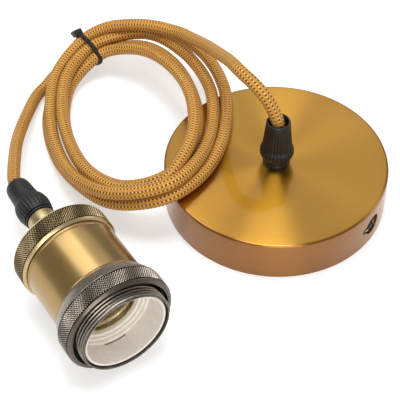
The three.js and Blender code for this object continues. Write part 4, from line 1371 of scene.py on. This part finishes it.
def build_stage():
    """Camera, floor, room and softboxes."""
    sizes = settings().stage
    scene = bpy.context.scene
    data = bpy.data.cameras.new("camera")
    data.lens, data.sensor_width = sizes.lens, 36.0
    camera = bpy.data.objects.new("camera", data)
    # The photograph's viewing angle, in metres and as a direction
    camera.location = (-0.2483, -0.3220, 0.4341)
    aim = Vector((0.3678, 0.5696, -0.7351))
    camera.rotation_euler = aim.to_track_quat("-Z", "Y").to_euler()
    scene.collection.objects.link(camera)
    scene.camera = camera

    reach = 3.0
    corners = [(-reach, -reach, 0), (reach, -reach, 0), (reach, reach, 0), (-reach, reach, 0)]
    mesh = bpy.data.meshes.new("floor")
    mesh.from_pydata(corners, [], [(0, 1, 2, 3)])
    mesh.materials.append(paper_floor())
    floor = bpy.data.objects.new("floor", mesh)
    scene.collection.objects.link(floor)

    world = bpy.data.worlds.new("studio")
    scene.world = world
    world.use_nodes = True
    tree = world.node_tree
    tree.nodes.clear()
    path = add(tree, "LightPath").outputs
    seen = add(tree, "Math", [path["Is Camera Ray"], path["Is Transmission Ray"]], operation="MAXIMUM")
    white = add(tree, "Background", {"Color": "#FFFFFF", "Strength": 1.0})
    room = add(tree, "Background", {"Color": "#F2F0EE", "Strength": sizes.room})
    both = add(tree, "MixShader", [seen, room, white])
    add(tree, "OutputWorld", [both])

    # A lamp: what it faces, its bearing and height in degrees, distance, width, length and watts
    middle, holder = (-0.04, 0.0, 0.02), (-0.106, -0.02, 0.03)
    for name, target, bearing, rise, distance, width, span, power in (
        ("overhead", middle, 61, 87, 1.3, 0.42, 0.42, 7.0),
        ("back", middle, 57, 47, 1.3, 0.9, 0.8, 1.6),
        ("key", holder, 93, 56, 0.4, 0.24, 0.2, 0.42),
        ("front", holder, -112, 24, 1.0, 0.6, 0.6, 5.0),
        ("right", middle, -18, 28, 1.3, 0.5, 0.7, 2.4),
    ):
        lamp = bpy.data.lights.new(name, "AREA")
        lamp.shape = "RECTANGLE"
        lamp.size, lamp.size_y = width, span
        lamp.energy = power * sizes.lamps
        around = Matrix.Rotation(math.radians(bearing), 4, "Z")
        up = Matrix.Rotation(math.radians(90 - rise), 4, "Y")
        across = Matrix.Rotation(math.pi / 2, 4, "Z")
        away = Matrix.Translation((0, 0, distance))
        thing = bpy.data.objects.new(name, lamp)
        thing.matrix_world = Matrix.Translation(target) @ around @ up @ away @ across
        scene.collection.objects.link(thing)
    scene.view_settings.view_transform = "Standard"


# Operators and panel


class CORDSET_OT_stage(bpy.types.Operator):
    """Set up the camera, floor and softboxes"""

    bl_idname = "cordset.stage"
    bl_label = "Stage"

    def execute(self, context):
        build_stage()
        return {"FINISHED"}


class CORDSET_OT_cord(bpy.types.Operator):
    """Lay the braided cord and draw the cable tie round it"""

    bl_idname = "cordset.cord"
    bl_label = "Cord and Tie"

    def execute(self, context):
        build_cord()
        return {"FINISHED"}


class CORDSET_OT_canopy(bpy.types.Operator):
    """Make the brushed canopy and what is fixed inside it"""

    bl_idname = "cordset.canopy"
    bl_label = "Canopy"

    def execute(self, context):
        build_canopy()
        build_canopy_wiring()
        return {"FINISHED"}


class CORDSET_OT_grips(bpy.types.Operator):
    """Make the two ribbed cord grips"""

    bl_idname = "cordset.grips"
    bl_label = "Cord Grips"

    def execute(self, context):
        build_grips()
        return {"FINISHED"}


class CORDSET_OT_holder(bpy.types.Operator):
    """Make the lamp holder: rings, body, sleeve, socket and wiring"""

    bl_idname = "cordset.holder"
    bl_label = "Lamp Holder"

    def execute(self, context):
        build_shade_ring()
        build_cap()
        build_body()
        build_sleeve()
        build_insulator()
        build_shell()
        build_holder_wiring()
        return {"FINISHED"}


class CORDSET_PT_panel(bpy.types.Panel):
    """Settings and pieces of the cord set"""

    bl_label = "Pendant Cord Set"
    bl_space_type = "VIEW_3D"
    bl_region_type = "UI"
    bl_category = "Cord Set"

    def draw(self, context):
        layout = self.layout
        for name in ("cord", "canopy", "grip", "holder", "stage"):
            group = getattr(context.scene.cord_set, name)
            box = layout.box()
            box.label(text=name.capitalize())
            for key in group.__annotations__:
                box.prop(group, key)
        for piece in OPERATORS:
            layout.operator(piece.bl_idname)


OPERATORS = (CORDSET_OT_stage, CORDSET_OT_cord, CORDSET_OT_canopy, CORDSET_OT_grips, CORDSET_OT_holder)
GROUPS = (CordSettings, CanopySettings, GripSettings, HolderSettings, StageSettings, CordSetSettings)


def register():
    """Adds the settings, operators and panel."""
    for kind in GROUPS + OPERATORS + (CORDSET_PT_panel,):
        bpy.utils.register_class(kind)
    bpy.types.Scene.cord_set = PointerProperty(type=CordSetSettings)


def unregister():
    """Takes them away again."""
    del bpy.types.Scene.cord_set
    for kind in reversed(GROUPS + OPERATORS + (CORDSET_PT_panel,)):
        bpy.utils.unregister_class(kind)


def main():
    """Dresses the frame, piece by piece."""
    register()
    bpy.ops.cordset.stage()
    bpy.ops.cordset.cord()
    bpy.ops.cordset.canopy()
    bpy.ops.cordset.grips()
    bpy.ops.cordset.holder()


if __name__ == "__main__":
    main()
